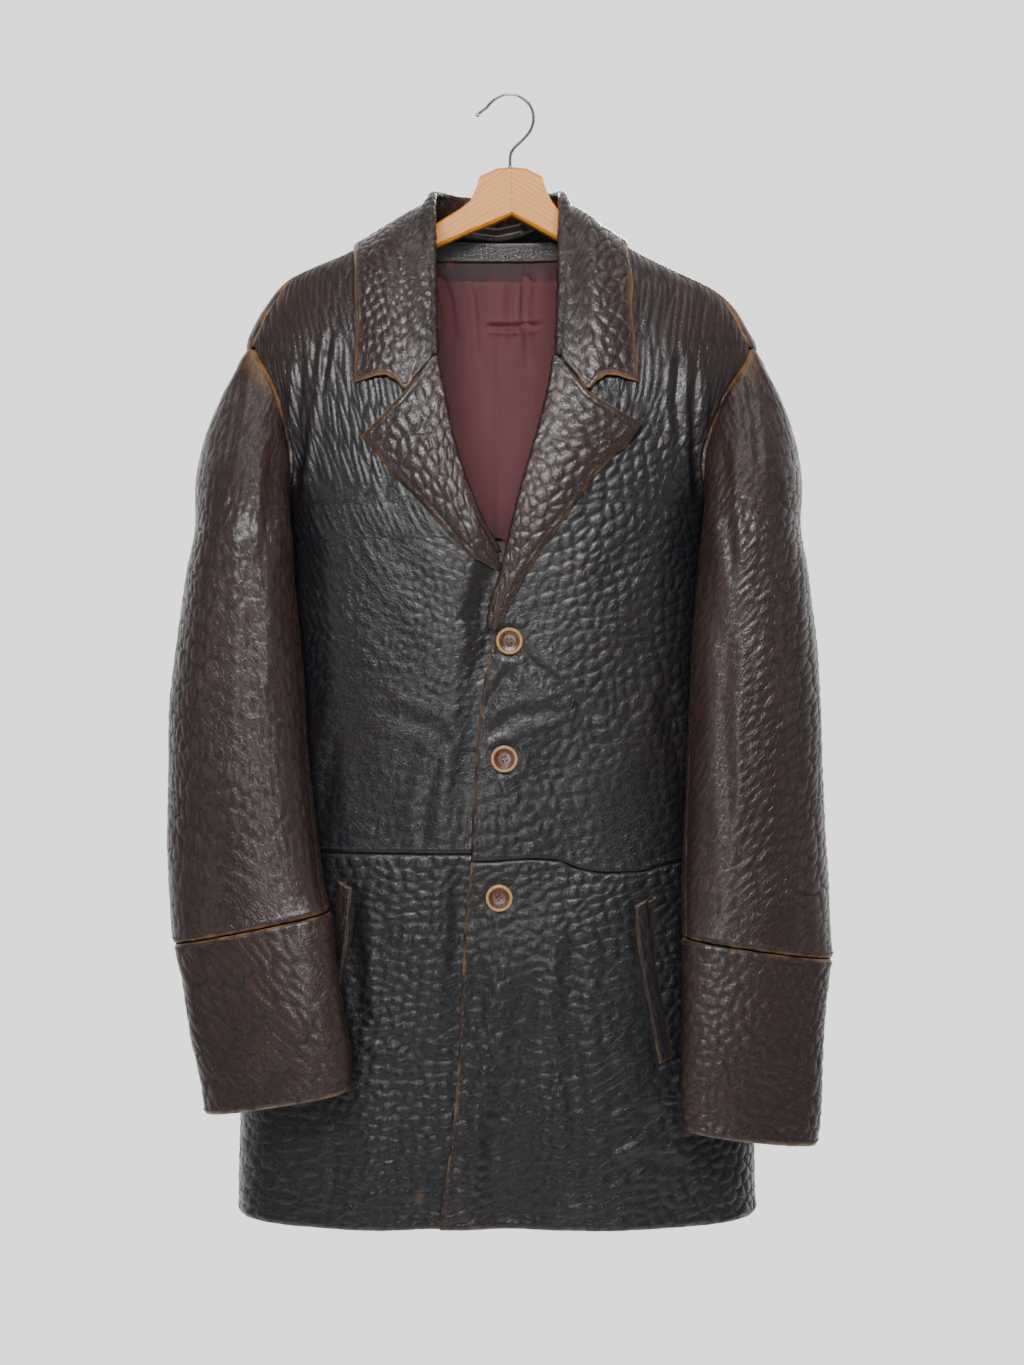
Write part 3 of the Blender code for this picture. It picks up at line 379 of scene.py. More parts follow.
def front_row(side, z, shares):
    # One row of a front panel, from the side or armhole to the opening
    n = front_power(z)
    if z > TIP_Z - 0.5:
        outer = SHOULDER_SEAM_ANGLE
    elif z > ARMPIT_Z + 0.5:
        outer = angle_of(side, armhole[side](z), z)
    else:
        outer = near_side(GAP / 2, side_mid(z) - front_mid(z), n)
    if z > LAPEL_FOLD_Z[side][1] - 1.2:
        q_in = fold_line[side](z) + PANEL_SETBACK + 9.0 * smooth((z + 255) / 60)
    else:
        q_in = edge_line[side](z)
    q_in = min(q_in, q_at(side, outer, z) - 4.0)
    inner = angle_of(side, q_in, z)
    angle = outer + (inner - outer) * shares
    q = q_at(side, angle, z)
    zz = np.full_like(q, z) + waist_shift(side, q, z)
    q = q_at(side, angle, zz)
    y = side_mid(zz) + (front_mid(zz) - side_mid(zz)) * depth_share(angle, n)
    u = np.abs(q) / half_width[side](zz)
    y = y + drape(SIGN[side] * q, zz) * (1 - np.minimum(u, 1) ** 6)
    if side == "left":
        y = y + under_lap(q, zz)
    return np.stack([q, y, zz], axis=-1)


def back_end(side, z):
    # Angle at which the back panel ends, counted from the front's centre
    n = back_power(z)
    if z > TIP_Z - 0.5:
        return BACK_SEAM_ANGLE
    if z < ARMPIT_Z + 0.5:
        return 180 - near_side(GAP, back_mid(z) - side_mid(z), n)
    q = armhole[side](z) + BACK_ARMHOLE_EXTRA * smooth((z + 392) / 40)
    q = min(q, 0.985 * half_width[side](z))
    end = 180 - angle_of(side, q, z)
    return BACK_SEAM_ANGLE + (end - BACK_SEAM_ANGLE) * smooth((TIP_Z - z) / 11)


def section_point(side, angle, z):
    # Point of the torso's section at an angle counted from the front's centre
    if angle <= 90:
        share = depth_share(angle, front_power(z))
        y = side_mid(z) + (front_mid(z) - side_mid(z)) * share
        return [q_at(side, angle, z), y, z]
    share = depth_share(180 - angle, back_power(z))
    y = side_mid(z) + (back_mid(z) - side_mid(z)) * share
    return [q_at(side, 180 - angle, z), y, z]


def neck_dip(q, z):
    # Lowers the top rows at the back neck
    top = smooth((z + 168) / 44)
    share = smooth((78 - np.abs(q)) / 34)
    return (BACK_NECK_Z - TOP_Z) * top * share


def back_waist_shift(side, q, z):
    # Tilts the rows near the back's waist seam to meet the fronts' seams at the sides
    tilt = -BACK_WAIST_DROP - BACK_WAIST_TILT * SIGN[side] * q / half_width[side](WAIST_Z)
    return tilt * smooth(1 - abs(z - WAIST_Z) / WAIST_BAND)


def back_row(z, count):
    # One row of the back, from its left end to its right end
    row = []
    for side, order in (("left", 1), ("right", -1)):
        end = back_end(side, z)
        part = []
        for k in range(count + 1):
            angle = end + (180 - end) * k / count
            q = section_point(side, angle, z)[0]
            q, y, zz = section_point(side, angle, z + back_waist_shift(side, q, z))
            if angle > 90:
                dip = neck_dip(q, z)
                zz = zz + dip
                y = y if dip > -0.05 else back_y(side, q, zz)
            part.append(place(side, [q, y, zz]))
        row += part if order > 0 else part[-2::-1]
    return row


def strip_grid(rows, reach, lift, count):
    # Strip laid on the back panel's inside
    grid = []
    for z in rows:
        row = []
        wide = min(reach, 0.6 * half_width["right"](z))
        for x in np.linspace(-wide, wide, count):
            side = "left" if x < 0 else "right"
            zz = z + neck_dip(abs(x), z) if z > -150 else z
            row.append([COAT_CENTRE + x, back_y(side, abs(x), zz) - lift, zz])
        grid.append(row)
    return np.array(grid)


def roll_section(stand, fold, crest, across, leaf):
    # Stand edge, roll and leaf in one line of points
    a = fold - crest * ROLL_REACH + across * ROLL_HALF
    b = fold - crest * ROLL_REACH - across * ROLL_HALF
    a2 = fold - crest * ROLL_NOSE + across * ROLL_HALF * ROLL_NOSE_SHARE
    b2 = fold - crest * ROLL_NOSE - across * ROLL_HALF * ROLL_NOSE_SHARE
    return [stand, (stand + a) / 2, a, a2, b2, b] + list(leaf)


def lapel_grid(side, rows, steps):
    # Rows from the collar seam down to the break, each through stand, roll and leaf
    first, last = LAPEL_FOLD_Z[side]
    outer = curve(LAPEL_OUTER[side])
    tip = outer(np.array(0.0))
    notch = np.array(NOTCH)
    top = np.array([fold_line[side](first) + ROLL_REACH, first])
    grid = []
    for v in np.linspace(0, 1, rows):
        z = first + (last - first) * v
        q = fold_line[side](z)
        root = q + ROLL_REACH
        fold = np.array([q, panel_y(side, root, z) + WALL / 2, z])
        stand_y = panel_y(side, q + PANEL_SETBACK, z) + WALL / 2
        stand = np.array([q + PANEL_SETBACK, stand_y + ROLL_HALF, z])
        o = outer(np.array(v))
        width = math.hypot(o[0] - q, o[1] - z)
        leaf = []
        for lam in steps:
            if lam < NOTCH_STEP:
                t = top + (notch - top) * lam / NOTCH_STEP
            else:
                t = notch + (tip - notch) * (lam - NOTCH_STEP) / (1 - NOTCH_STEP)
            base = top + (tip - top) * lam
            pq = root + (o[0] - root) * lam + (t[0] - base[0]) * (1 - v) ** 2
            pz = z + (o[1] - z) * lam + (t[1] - base[1]) * (1 - v) ** 2
            bulge = LAPEL_BULGE * min(1.0, width / LAPEL_FULL_WIDTH) * math.sin(math.pi * lam) ** BULGE_POWER
            lift = LEAF_LIFT + bulge + LAPEL_END_LIFT * smooth((v - 0.7) / 0.3)
            leaf.append(np.array([pq, panel_y(side, pq, pz) - lift, pz]))
        grid.append(roll_section(stand, fold, np.array([-1.0, 0, 0]), np.array([0, 1.0, 0]), leaf))
    return place(side, grid)


def lapel_hint(grid):
    # Outward direction: leaf to the front, return to the back
    hint = np.zeros_like(grid)
    hint[:, 5:, 1] = -1.0
    hint[:, :2, 1] = 1.0
    return hint


def collar_section(side, s):
    # Section of the collar at a share of the way from its front end to the nape
    fold = curve(COLLAR_FOLD)
    stand = curve(COLLAR_STAND[side])(np.array(s))
    edge = curve(COLLAR_EDGE[side])(profile(COLLAR_PACE)(s))
    f = fold(np.array(s))
    front = 1 - smooth((s - 0.22) / 0.2)
    if front > 0:
        fy = panel_y(side, f[0] + ROLL_REACH, min(f[2], -150.0)) + WALL / 2
        sy = panel_y(side, stand[0], min(stand[2], -150.0)) + WALL / 2 + ROLL_HALF
        f[1] = f[1] + (fy - f[1]) * front
        stand[1] = stand[1] + (sy - stand[1]) * front
    tangent = fold(np.array(min(s + 0.02, 1.0))) - fold(np.array(max(s - 0.02, 0.0)))
    tangent = tangent / np.linalg.norm(tangent)
    back_crest = f - (stand + edge) / 2
    crest = np.array([-1.0, 0, 0]) * front + back_crest / np.linalg.norm(back_crest) * (1 - front)
    crest = crest - tangent * np.dot(crest, tangent)
    crest = crest / np.linalg.norm(crest)
    across = np.cross(tangent, crest)
    if np.dot(across, stand - edge) < 0:
        across = -across
    across = across * (1 - front) + np.array([0, 1.0, 0]) * front
    across = across / np.linalg.norm(across)
    b = f - crest * ROLL_REACH - across * ROLL_HALF
    leaf = []
    for k, lam in enumerate(LEAF_STEPS):
        mid = (b + edge) / 2 - across * COLLAR_ARCH
        p = (1 - lam) ** 2 * b + 2 * lam * (1 - lam) * mid + lam * lam * edge
        near = 1 - smooth(s / 0.16)
        straight = b + (edge - b) * lam
        p[0] = p[0] + (COLLAR_BOTTOM[k][0] - straight[0]) * near
        p[2] = p[2] + (COLLAR_BOTTOM[k][1] - straight[2]) * near
        lift = LEAF_LIFT + COLLAR_BULGE * math.sin(math.pi * lam) ** BULGE_POWER
        on_front = front_y(side, p[0], p[2]) - lift
        p[1] = p[1] + (on_front - p[1]) * front
        p = p * front + push_out(side, p, *COLLAR_CLEAR) * (1 - front)
        leaf.append(p)
    return roll_section(stand, f, crest, across, leaf)


def collar_half(side):
    # Sections of one side, with the leaf evened out behind the shoulder
    steps = np.array(COLLAR_STEPS)
    grid = np.array([collar_section(side, s) for s in steps])
    leaf = grid[:, 6:]
    for _ in range(3):
        mean = (leaf[2:] + leaf[:-2]) / 2
        share = smooth((steps[1:-1] - 0.2) / 0.15)[:, None, None] * 0.5
        leaf[1:-1] = leaf[1:-1] * (1 - share) + mean * share
        late = steps > 0.3
        leaf[late] = push_out(side, leaf[late], *COLLAR_REST)
    return place(side, grid)


def collar_hint(grid):
    # Outward direction: leaf to the front at its two ends, to the back at the nape
    hint = np.zeros_like(grid)
    hint[:4, 6:, 1] = -1.0
    hint[-4:, 6:, 1] = -1.0
    hint[12:17, 8:, 1] = 1.0
    return hint


def label_grid(collar, columns):
    # Band across the inside of the collar's stand at the nape
    mid = len(collar) // 2
    low, high = [], []
    for row in collar[mid - 4:mid + 5]:
        along = (row[2] - row[0]) / np.linalg.norm(row[2] - row[0])
        low.append(row[0] + along * LABEL_BAND[0])
        high.append(row[0] + along * LABEL_BAND[1])
    grid = []
    for x in np.linspace(*LABEL_ENDS, columns) + COAT_CENTRE:
        grid.append([[x] + [np.interp(x, np.array(e)[:, 0], np.array(e)[:, k]) for k in (1, 2)]
                     for e in (low, high)])
    grid = np.array(grid)
    grid[..., 1] = grid[..., 1] - GAP - LABEL_WALL
    return grid


def armhole_loop(side):
    # Closed line round the armhole: over the ridge, down the front, up the back
    ends = np.array([0.0, 1.0])
    front = np.array([front_row(side, z, ends)[0] for z in FRONT_ARM_ROWS[::-1]])
    back = np.array([section_point(side, back_end(side, z), z) for z in BACK_ARM_ROWS])
    ridge = len(back) - 3
    a = curve_length(np.concatenate([back[ridge:], front]), ARMPIT_STEP + 1)
    b = curve_length(back[:ridge + 1], SLEEVE_ROUND - ARMPIT_STEP + 1)
    return np.concatenate([a[:-1], b[:-1]])


def curve_length(points, count):
    # Points at even steps along a line
    step = np.r_[0, np.cumsum(np.linalg.norm(np.diff(points, axis=0), axis=1))]
    want = np.linspace(0, step[-1], count)
    return np.stack([np.interp(want, step, points[:, k]) for k in range(3)], axis=-1)


def ring_points(side, ring, count, clear):
    # Rounded ring of a sleeve or cuff, kept clear of the torso
    z_out, tilt, q_out, q_in, y_mid, depth = ring
    mid = (q_out + q_in) / 2
    half = (q_out - q_in) / 2
    pts = []
    for k in range(count):
        a = 2 * math.pi * k / count
        c, s = math.cos(a), math.sin(a)
        u = math.copysign(abs(c) ** (2 / SLEEVE_POWER), c)
        w = math.copysign(abs(s) ** (2 / SLEEVE_POWER), s)
        y = y_mid - depth * w + SLEEVE_LEAN * half * u
        pts.append([mid + half * u, y, z_out + tilt * (1 - u) / 2])
    pts = push_out(side, np.array(pts), clear)
    for k in range(2):
        pts = pts * 0.5 + (np.roll(pts, 1, axis=0) + np.roll(pts, -1, axis=0)) * 0.25
    return push_out(side, pts, clear)


def sleeve_grid(side):
    # Rings from the armhole down to the cuff seam, in q, y, z
    loop = armhole_loop(side)
    inward = loop.mean(axis=0) - loop
    inward = inward / np.linalg.norm(inward, axis=1, keepdims=True)
    start = loop + inward * SLEEVE_TUCK
    start[:, 0] = start[:, 0] + ARMPIT_TUCK * smooth((-loop[:, 2] - 340) / 40)
    rings = SLEEVE_RINGS[side]
    goal = ring_points(side, rings[0], SLEEVE_ROUND, SLEEVE_CLEAR)
    span = np.linalg.norm(goal - start, axis=1, keepdims=True)
    angle = 2 * np.pi * np.arange(SLEEVE_ROUND) / SLEEVE_ROUND
    out = np.stack([np.maximum(np.cos(angle), 0) + 0.15, -np.sin(angle), np.zeros(SLEEVE_ROUND)], axis=-1)
    control = (start + goal) / 2 + out * span * SLEEVE_HEAD_FULL
    grid = [start]
    for t in SLEEVE_HEAD_STEPS:
        p = (1 - t) ** 2 * start + 2 * t * (1 - t) * control + t * t * goal
        grid.append(push_out(side, p, SLEEVE_CLEAR * min(1.0, 0.6 + 2 * t)))
    for ring in rings:
        grid.append(ring_points(side, ring, SLEEVE_ROUND, SLEEVE_CLEAR))
    return np.array(grid)


def cuff_grid(side):
    return np.array([ring_points(side, ring, SLEEVE_ROUND, SLEEVE_CLEAR) for ring in CUFF_RINGS[side]])


def tube_hint(side, grid):
    # Outward direction of a tube's rings
    hint = grid - grid.mean(axis=1, keepdims=True)
    hint[..., 0] = hint[..., 0] * SIGN[side]
    return hint


def welt_grid(side, rows, columns):
    # Strip beside the pocket's line, on the front's own points
    line = curve(WELT_LINE[side])
    grid = []
    for v in np.linspace(0, 1, rows):
        q, z = line(np.array(v))
        row = []
        for w in np.linspace(0, 1, columns):
            pq = q + WELT_WIDTH * w
            pz = z + WELT_DROP * w
            lift = WALL + GAP + WELT_BULGE * math.sin(math.pi * w)
            row.append([pq, front_y(side, pq, pz) - lift, pz])
        grid.append(row)
    return place(side, grid)


def button_place(k):
    # Centre of a button's back and how its front lies across
    x, z = BUTTONS[k]
    slope = (front_y("right", x + 10, z) - front_y("right", x - 10, z)) / 20
    return [COAT_CENTRE + x, front_y("right", x, z) - GAP - BUTTON_LIFT, z], slope


# Width of a fine cell, and how many of them each coarse cell of the inner face spans
STEP = 1.8
SKIP = 6
# Depth of the grain, and the lowest that the relief of a panel goes
GRAIN_DEPTH = 1.5
RELIEF_LOW = -1.7
# Run of the sleeve head's seam allowance, and of the left lapel's end under the right one
SEAM_UNDER = 6.0
SEAM_IN = 5.6
UNDER_RUN = 17.0
FLOOR_Z = -1750.0


def spline(pos, q, want):
    # Smooth curve through rows of points
    h = np.diff(pos).reshape((-1,) + (1,) * (q.ndim - 1))
    d = np.diff(q, axis=0) / h
    a, b = h[:-1], h[1:]
    m = np.concatenate([d[:1], (d[:-1] * b + d[1:] * a) / (a + b), d[-1:]])
    k = np.clip(np.searchsorted(pos, want) - 1, 0, len(pos) - 2)
    hk = h[k]
    t = ((want - pos[k]) / np.diff(pos)[k]).reshape(hk.shape)
    out = (1 + 2 * t) * (1 - t) ** 2 * q[k] + t * (1 - t) ** 2 * hk * m[k]
    return out + t * t * (3 - 2 * t) * q[k + 1] + t * t * (t - 1) * hk * m[k + 1]


def refine(grid, step, ring=False):
    # Finer grid through a coarse one, its cells about step wide
    p = np.array(grid, float)
    for axis in (0, 1):
        q = np.moveaxis(p, axis, 0)
        loop = ring and axis == 1
        if loop:
            q = np.concatenate([q[-2:], q, q[:3]])
        gap = np.linalg.norm(np.diff(q, axis=0), axis=-1).mean(axis=1)
        pos = np.r_[0, np.cumsum(gap)]
        low, high = (pos[2], pos[-3]) if loop else (0.0, pos[-1])
        want = np.linspace(low, high, steps_to(high - low, step) + 1)
        p = np.moveaxis(spline(pos, q, want[:-1] if loop else want), 0, axis)
    return p


def nearest(s, *borders):
    # Distance from the closest of the named borders
    return np.minimum.reduce([getattr(s, key) for key in borders])


def steps_to(length, step):
    return max(int(round(length / step / SKIP)), 1) * SKIP


def survey(grid, hint, ring=False):
    # Normals and distances along the surface, from each border
    p = np.array(grid, float)
    if ring:
        du = np.roll(p, -1, axis=1) - np.roll(p, 1, axis=1)
        step = np.linalg.norm(np.roll(p, -1, axis=1) - p, axis=2)
        across = np.cumsum(step, axis=1) - step
        total = step.sum(axis=1, keepdims=True)
    else:
        du = np.gradient(p, axis=1)
        step = np.linalg.norm(np.diff(p, axis=1), axis=2)
        across = np.concatenate([np.zeros((len(p), 1)), np.cumsum(step, axis=1)], axis=1)
        total = across[:, -1:]
    rise = np.linalg.norm(np.diff(p, axis=0), axis=2)
    along = np.concatenate([np.zeros((1, p.shape[1])), np.cumsum(rise, axis=0)])
    n = np.cross(du, np.gradient(p, axis=0))
    n = n / np.maximum(np.linalg.norm(n, axis=2, keepdims=True), 1e-9)
    hint = np.asarray(hint, float)
    if hint.ndim == 3:
        ri = np.linspace(0, len(hint) - 1, len(p)).round().astype(int)
        ci = np.linspace(0, hint.shape[1] - 1, p.shape[1]).round().astype(int)
        hint = hint[np.ix_(ri, ci)]
    flip = np.sum(n * hint) < 0
    return SimpleNamespace(p=p, n=-n if flip else n, flip=flip, ring=ring, first=across, last=total - across,
                           total=total, low=along, high=along[-1:] - along, x=p[..., 0] - COAT_CENTRE,
                           z=p[..., 2], cell=np.full(p.shape[:2], 0.7), top=p)


def chance(i, j, seed):
    n = (i * 374761393 + j * 668265263 + seed * 362437) & 0x7FFFFFFF
    n = ((n ^ (n >> 13)) * 1274126177) & 0x7FFFFFFF
    return ((n ^ (n >> 16)) & 0xFFFF) / 65535.0


def waves(s, t, wide, high, seed):
    # Soft random swell from -1 to 1
    a, b = s / wide, t / high
    i, j = np.floor(a).astype(np.int64), np.floor(b).astype(np.int64)
    u, v = smooth(a - i), smooth(b - j)
    top = chance(i, j + 1, seed) * (1 - u) + chance(i + 1, j + 1, seed) * u
    low = chance(i, j, seed) * (1 - u) + chance(i + 1, j, seed) * u
    return 2 * (low * (1 - v) + top * v) - 1


def cells(s, t, wide, high, turn, seed):
    # Shrunken grain: 0 in the valleys between cells, near 1 on their tops
    c, d = math.cos(turn), math.sin(turn)
    a = (s * c + t * d) / wide + 0.35 * waves(s, t, 38, 38, seed + 3)
    b = (t * c - s * d) / high + 0.35 * waves(s, t, 34, 44, seed + 4)
    i, j = np.floor(a).astype(np.int64), np.floor(b).astype(np.int64)
    f1 = np.full(a.shape, 9.0)
    f2 = np.full(a.shape, 9.0)
    own = np.zeros(a.shape)
    for di in (-1, 0, 1):
        for dj in (-1, 0, 1):
            x = i + di + 0.1 + 0.8 * chance(i + di, j + dj, seed) - a
            y = j + dj + 0.1 + 0.8 * chance(i + di, j + dj, seed + 7) - b
            r = np.hypot(x, y)
            near = r < f1
            f2 = np.where(near, f1, np.minimum(f2, r))
            own = np.where(near, chance(i + di, j + dj, seed + 13), own)
            f1 = np.minimum(f1, r)
    return (1 - np.exp(-(f2 - f1) * 3.6)) * (0.7 + 0.3 * own)


def blob(s, x, z, wide, high):
    # Soft share round a place in the front view
    return np.exp(-((s.x - x) / wide) ** 2 - ((s.z - z) / high) ** 2)


def line_distance(s, points):
    # Distance in the front view from a line of x, z points, and share along it
    best = np.full(s.x.shape, 1e9)
    share = np.zeros(s.x.shape)
    pts = np.array(points, float)
    count = len(pts) - 1
    for k in range(count):
        a, b = pts[k], pts[k + 1]
        d = b - a
        t = np.clip(((s.x - a[0]) * d[0] + (s.z - a[1]) * d[1]) / (d @ d), 0, 1)
        r = np.hypot(s.x - a[0] - t * d[0], s.z - a[1] - t * d[1])
        near = r < best
        share = np.where(near, (k + t) / count, share)
        best = np.minimum(best, r)
    return best, share


def creases(s, lines):
    # Listed creases: points, width and depth, fading at both ends
    h = np.zeros(s.x.shape)
    for points, wide, deep in lines:
        r, share = line_distance(s, points)
        inside = smooth(share / 0.2) * smooth((1 - share) / 0.2)
        h = h - deep * inside * np.exp(-(r / wide) ** 2)
        h = h + 0.7 * deep * inside * np.exp(-((r - 2.1 * wide) / wide) ** 2)
    return h


def grain(s, u, v, fields, seed):
    # Blend of cell patterns: weight, width, height, turn, depth; keeps how near a cell's top each point is
    total = 0.0
    height = 0.0
    tops = 0.0
    for k, (weight, wide, high, turn, deep) in enumerate(fields):
        w = (weight * np.ones(u.shape)) ** 2.5 + 1e-6
        cell = cells(u, v, wide, high, turn, seed + 31 * k)
        height = height + w * deep * cell
        tops = tops + w * cell
        total = total + w
    s.cell = tops / total
    return GRAIN_DEPTH * height / total


def fade(d, reach):
    return np.exp(-d / reach)


def dip(d, deep, wide):
    return -deep * np.exp(-(d / wide) ** 2)


def ridge(d, at, high, wide):
    return high * np.exp(-((d - at) / wide) ** 2)


def put(obj):
    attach(obj, "root")
    return obj


def mesh_object(name, verts, polys, mats, slots=None, uv=None, marks=None, smooth_faces=True):
    # Mesh from arrays: polys is a list of index arrays, each with rows of one length
    mesh = bpy.data.meshes.new(name)
    verts = np.asarray(verts, float) * MM
    mesh.vertices.add(len(verts))
    mesh.vertices.foreach_set("co", verts.ravel())
    lengths = np.concatenate([np.full(len(q), q.shape[1]) for q in polys])
    index = np.concatenate([q.ravel() for q in polys])
    mesh.loops.add(len(index))
    mesh.polygons.add(len(lengths))
    mesh.loops.foreach_set("vertex_index", index.astype(np.int32))
    mesh.polygons.foreach_set("loop_start", np.r_[0, np.cumsum(lengths)[:-1]].astype(np.int32))
    if slots is not None:
        kind = np.concatenate([np.full(len(q), k) for q, k in zip(polys, slots)])
        mesh.polygons.foreach_set("material_index", kind.astype(np.int32))
    mesh.polygons.foreach_set("use_smooth", np.full(len(lengths), smooth_faces))
    mesh.update(calc_edges=True)
    if uv is not None:
        layer = mesh.uv_layers.new(name="UVMap")
        layer.data.foreach_set("uv", (uv[index] * MM).ravel())
    for key, values in (marks or {}).items():
        mesh.attributes.new(key, "FLOAT", "POINT").data.foreach_set("value", values)
    for mat in mats:
        mesh.materials.append(mat)
    mesh.validate()
    obj = bpy.data.objects.new(name, mesh)
    bpy.context.scene.collection.objects.link(obj)
    return obj


def cloth(name, s, height, wall, mats, u, v, wear, tint, flat, held, rests, area=None):
    # Closed cloth: fine outer face with its relief, coarse inner face, and rims
    p, n = s.p, s.n
    rows, cols = p.shape[:2]
    outer = p + n * height[..., None]
    s.top = outer
    ri = np.arange(0, rows, SKIP)
    ci = np.arange(0, cols, SKIP)
    inner = (p - n * wall)[np.ix_(ri, ci)]
    a = np.arange(rows * cols).reshape(rows, cols)
    b = rows * cols + np.arange(len(ri) * len(ci)).reshape(len(ri), len(ci))
    if s.ring:
        a = np.concatenate([a, a[:, :1]], axis=1)
        b = np.concatenate([b, b[:, :1]], axis=1)
    quads = np.stack([a[:-1, :-1], a[:-1, 1:], a[1:, 1:], a[1:, :-1]], axis=-1).reshape(-1, 4)
    back = np.stack([b[:-1, :-1], b[1:, :-1], b[1:, 1:], b[:-1, 1:]], axis=-1).reshape(-1, 4)
    rims = []
    borders = [(a[0], b[0], True), (a[-1], b[-1], False)]
    if not s.ring:
        borders += [(a[:, 0], b[:, 0], False), (a[:, -1], b[:, -1], True)]
    for fine, rough, turn in borders:
        for k in range(len(rough) - 1):
            f = list(fine[k * SKIP:(k + 1) * SKIP + 1][::-1]) + [rough[k], rough[k + 1]]
            rims.append(f if turn else f[::-1])
    polys = [quads, back, np.array(rims)]
    if s.flip:
        polys = [q[:, ::-1] for q in polys]
    spare = np.zeros(len(ri) * len(ci))

    def both(k):
        return np.concatenate([k.ravel(), k[np.ix_(ri, ci)].ravel()])

    uv = np.stack([both(u), both(v)], axis=-1)
    # Marks for leather and satin: wear is rubbed colour; the tone mark mixes two colours, on the lining also
    # as painted shade of the folds; the relief mark darkens the grain's valleys as painted shade
    marks = {"wear": np.r_[wear.ravel(), spare], "tint": np.r_[tint.ravel(), spare],
             "relief": np.r_[np.clip(s.cell, 0, 1).ravel(), spare]}
    obj = mesh_object(name + "_cloth", np.concatenate([outer.reshape(-1, 3), inner.reshape(-1, 3)]),
                      polys, mats, (0, 1, 0), uv, marks)
    put(obj)
    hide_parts(name)
    return obj


threads = {}


def thread_run(group, points, normals, pitch=3.5, long=2.5, thick=0.42):
    # Row of stitches along a line on the surface
    step = np.linalg.norm(np.diff(points, axis=0), axis=1)
    pos = np.r_[0, np.cumsum(step)]
    at = np.arange(pitch * 0.6, pos[-1] - pitch * 0.5, pitch)
    if len(at) == 0:
        return

    def pick(values, want):
        return np.stack([np.interp(want, pos, values[:, k]) for k in range(3)], axis=-1)

    mid, n = pick(points, at), pick(normals, at)
    run = pick(points, at + long / 2) - pick(points, at - long / 2)
    run = run / np.maximum(np.linalg.norm(run, axis=1, keepdims=True), 1e-9)
    side = np.cross(run, n)
    side = side / np.maximum(np.linalg.norm(side, axis=1, keepdims=True), 1e-9)
    rings = []
    for along, size, lift in ((-0.5, 0.35, -0.35), (-0.25, 1.0, 0.1), (0.25, 1.0, 0.1), (0.5, 0.35, -0.35)):
        c = mid + run * long * along + n * lift
        rings.append(np.stack([c + side * thick * size, c + n * thick * size, c - side * thick * size,
                               c - n * thick * size], axis=1))
    threads.setdefault(group, []).append(np.stack(rings, axis=1))


def sew(group, s, border, at, low=-1e9, high=1e9, **kw):
    # Stitches at a distance from a border, over a part of its length in z or x
    d, p, n = getattr(s, border), s.top, s.n
    if border == "last":
        d, p, n = d[:, ::-1], p[:, ::-1], n[:, ::-1]
    if border == "high":
        d, p, n = d[::-1], p[::-1], n[::-1]
    if border in ("low", "high"):
        d, p, n = d.T, np.swapaxes(p, 0, 1), np.swapaxes(n, 0, 1)
    pts, nrm = [], []
    for dist, point, normal in zip(d, p, n):
        i = int(np.clip(np.searchsorted(dist, at), 1, len(dist) - 1))
        t = (at - dist[i - 1]) / max(dist[i] - dist[i - 1], 1e-6)
        t = min(max(t, 0.0), 1.0)
        pts.append(point[i - 1] * (1 - t) + point[i] * t)
        nrm.append(normal[i])
    pts, nrm = np.array(pts), np.array(nrm)
    along = pts[:, 2 if border in ("first", "last") else 0]
    keep = (along >= low) & (along <= high)
    if keep.sum() > 3:
        thread_run(group, pts[keep], nrm[keep], **kw)


def feed(tree, made, links):
    # Sets a node's inputs, by link or by number
    for key, value in links.items():
        socket = made.inputs[key]
        if isinstance(value, bpy.types.NodeSocket):
            tree.links.new(value, socket)
        else:
            socket.default_value = value


def node(tree, kind, links=None, **values):
    made = tree.nodes.new(kind)
    for key, value in values.items():
        setattr(made, key, value)
    feed(tree, made, links or {})
    return made


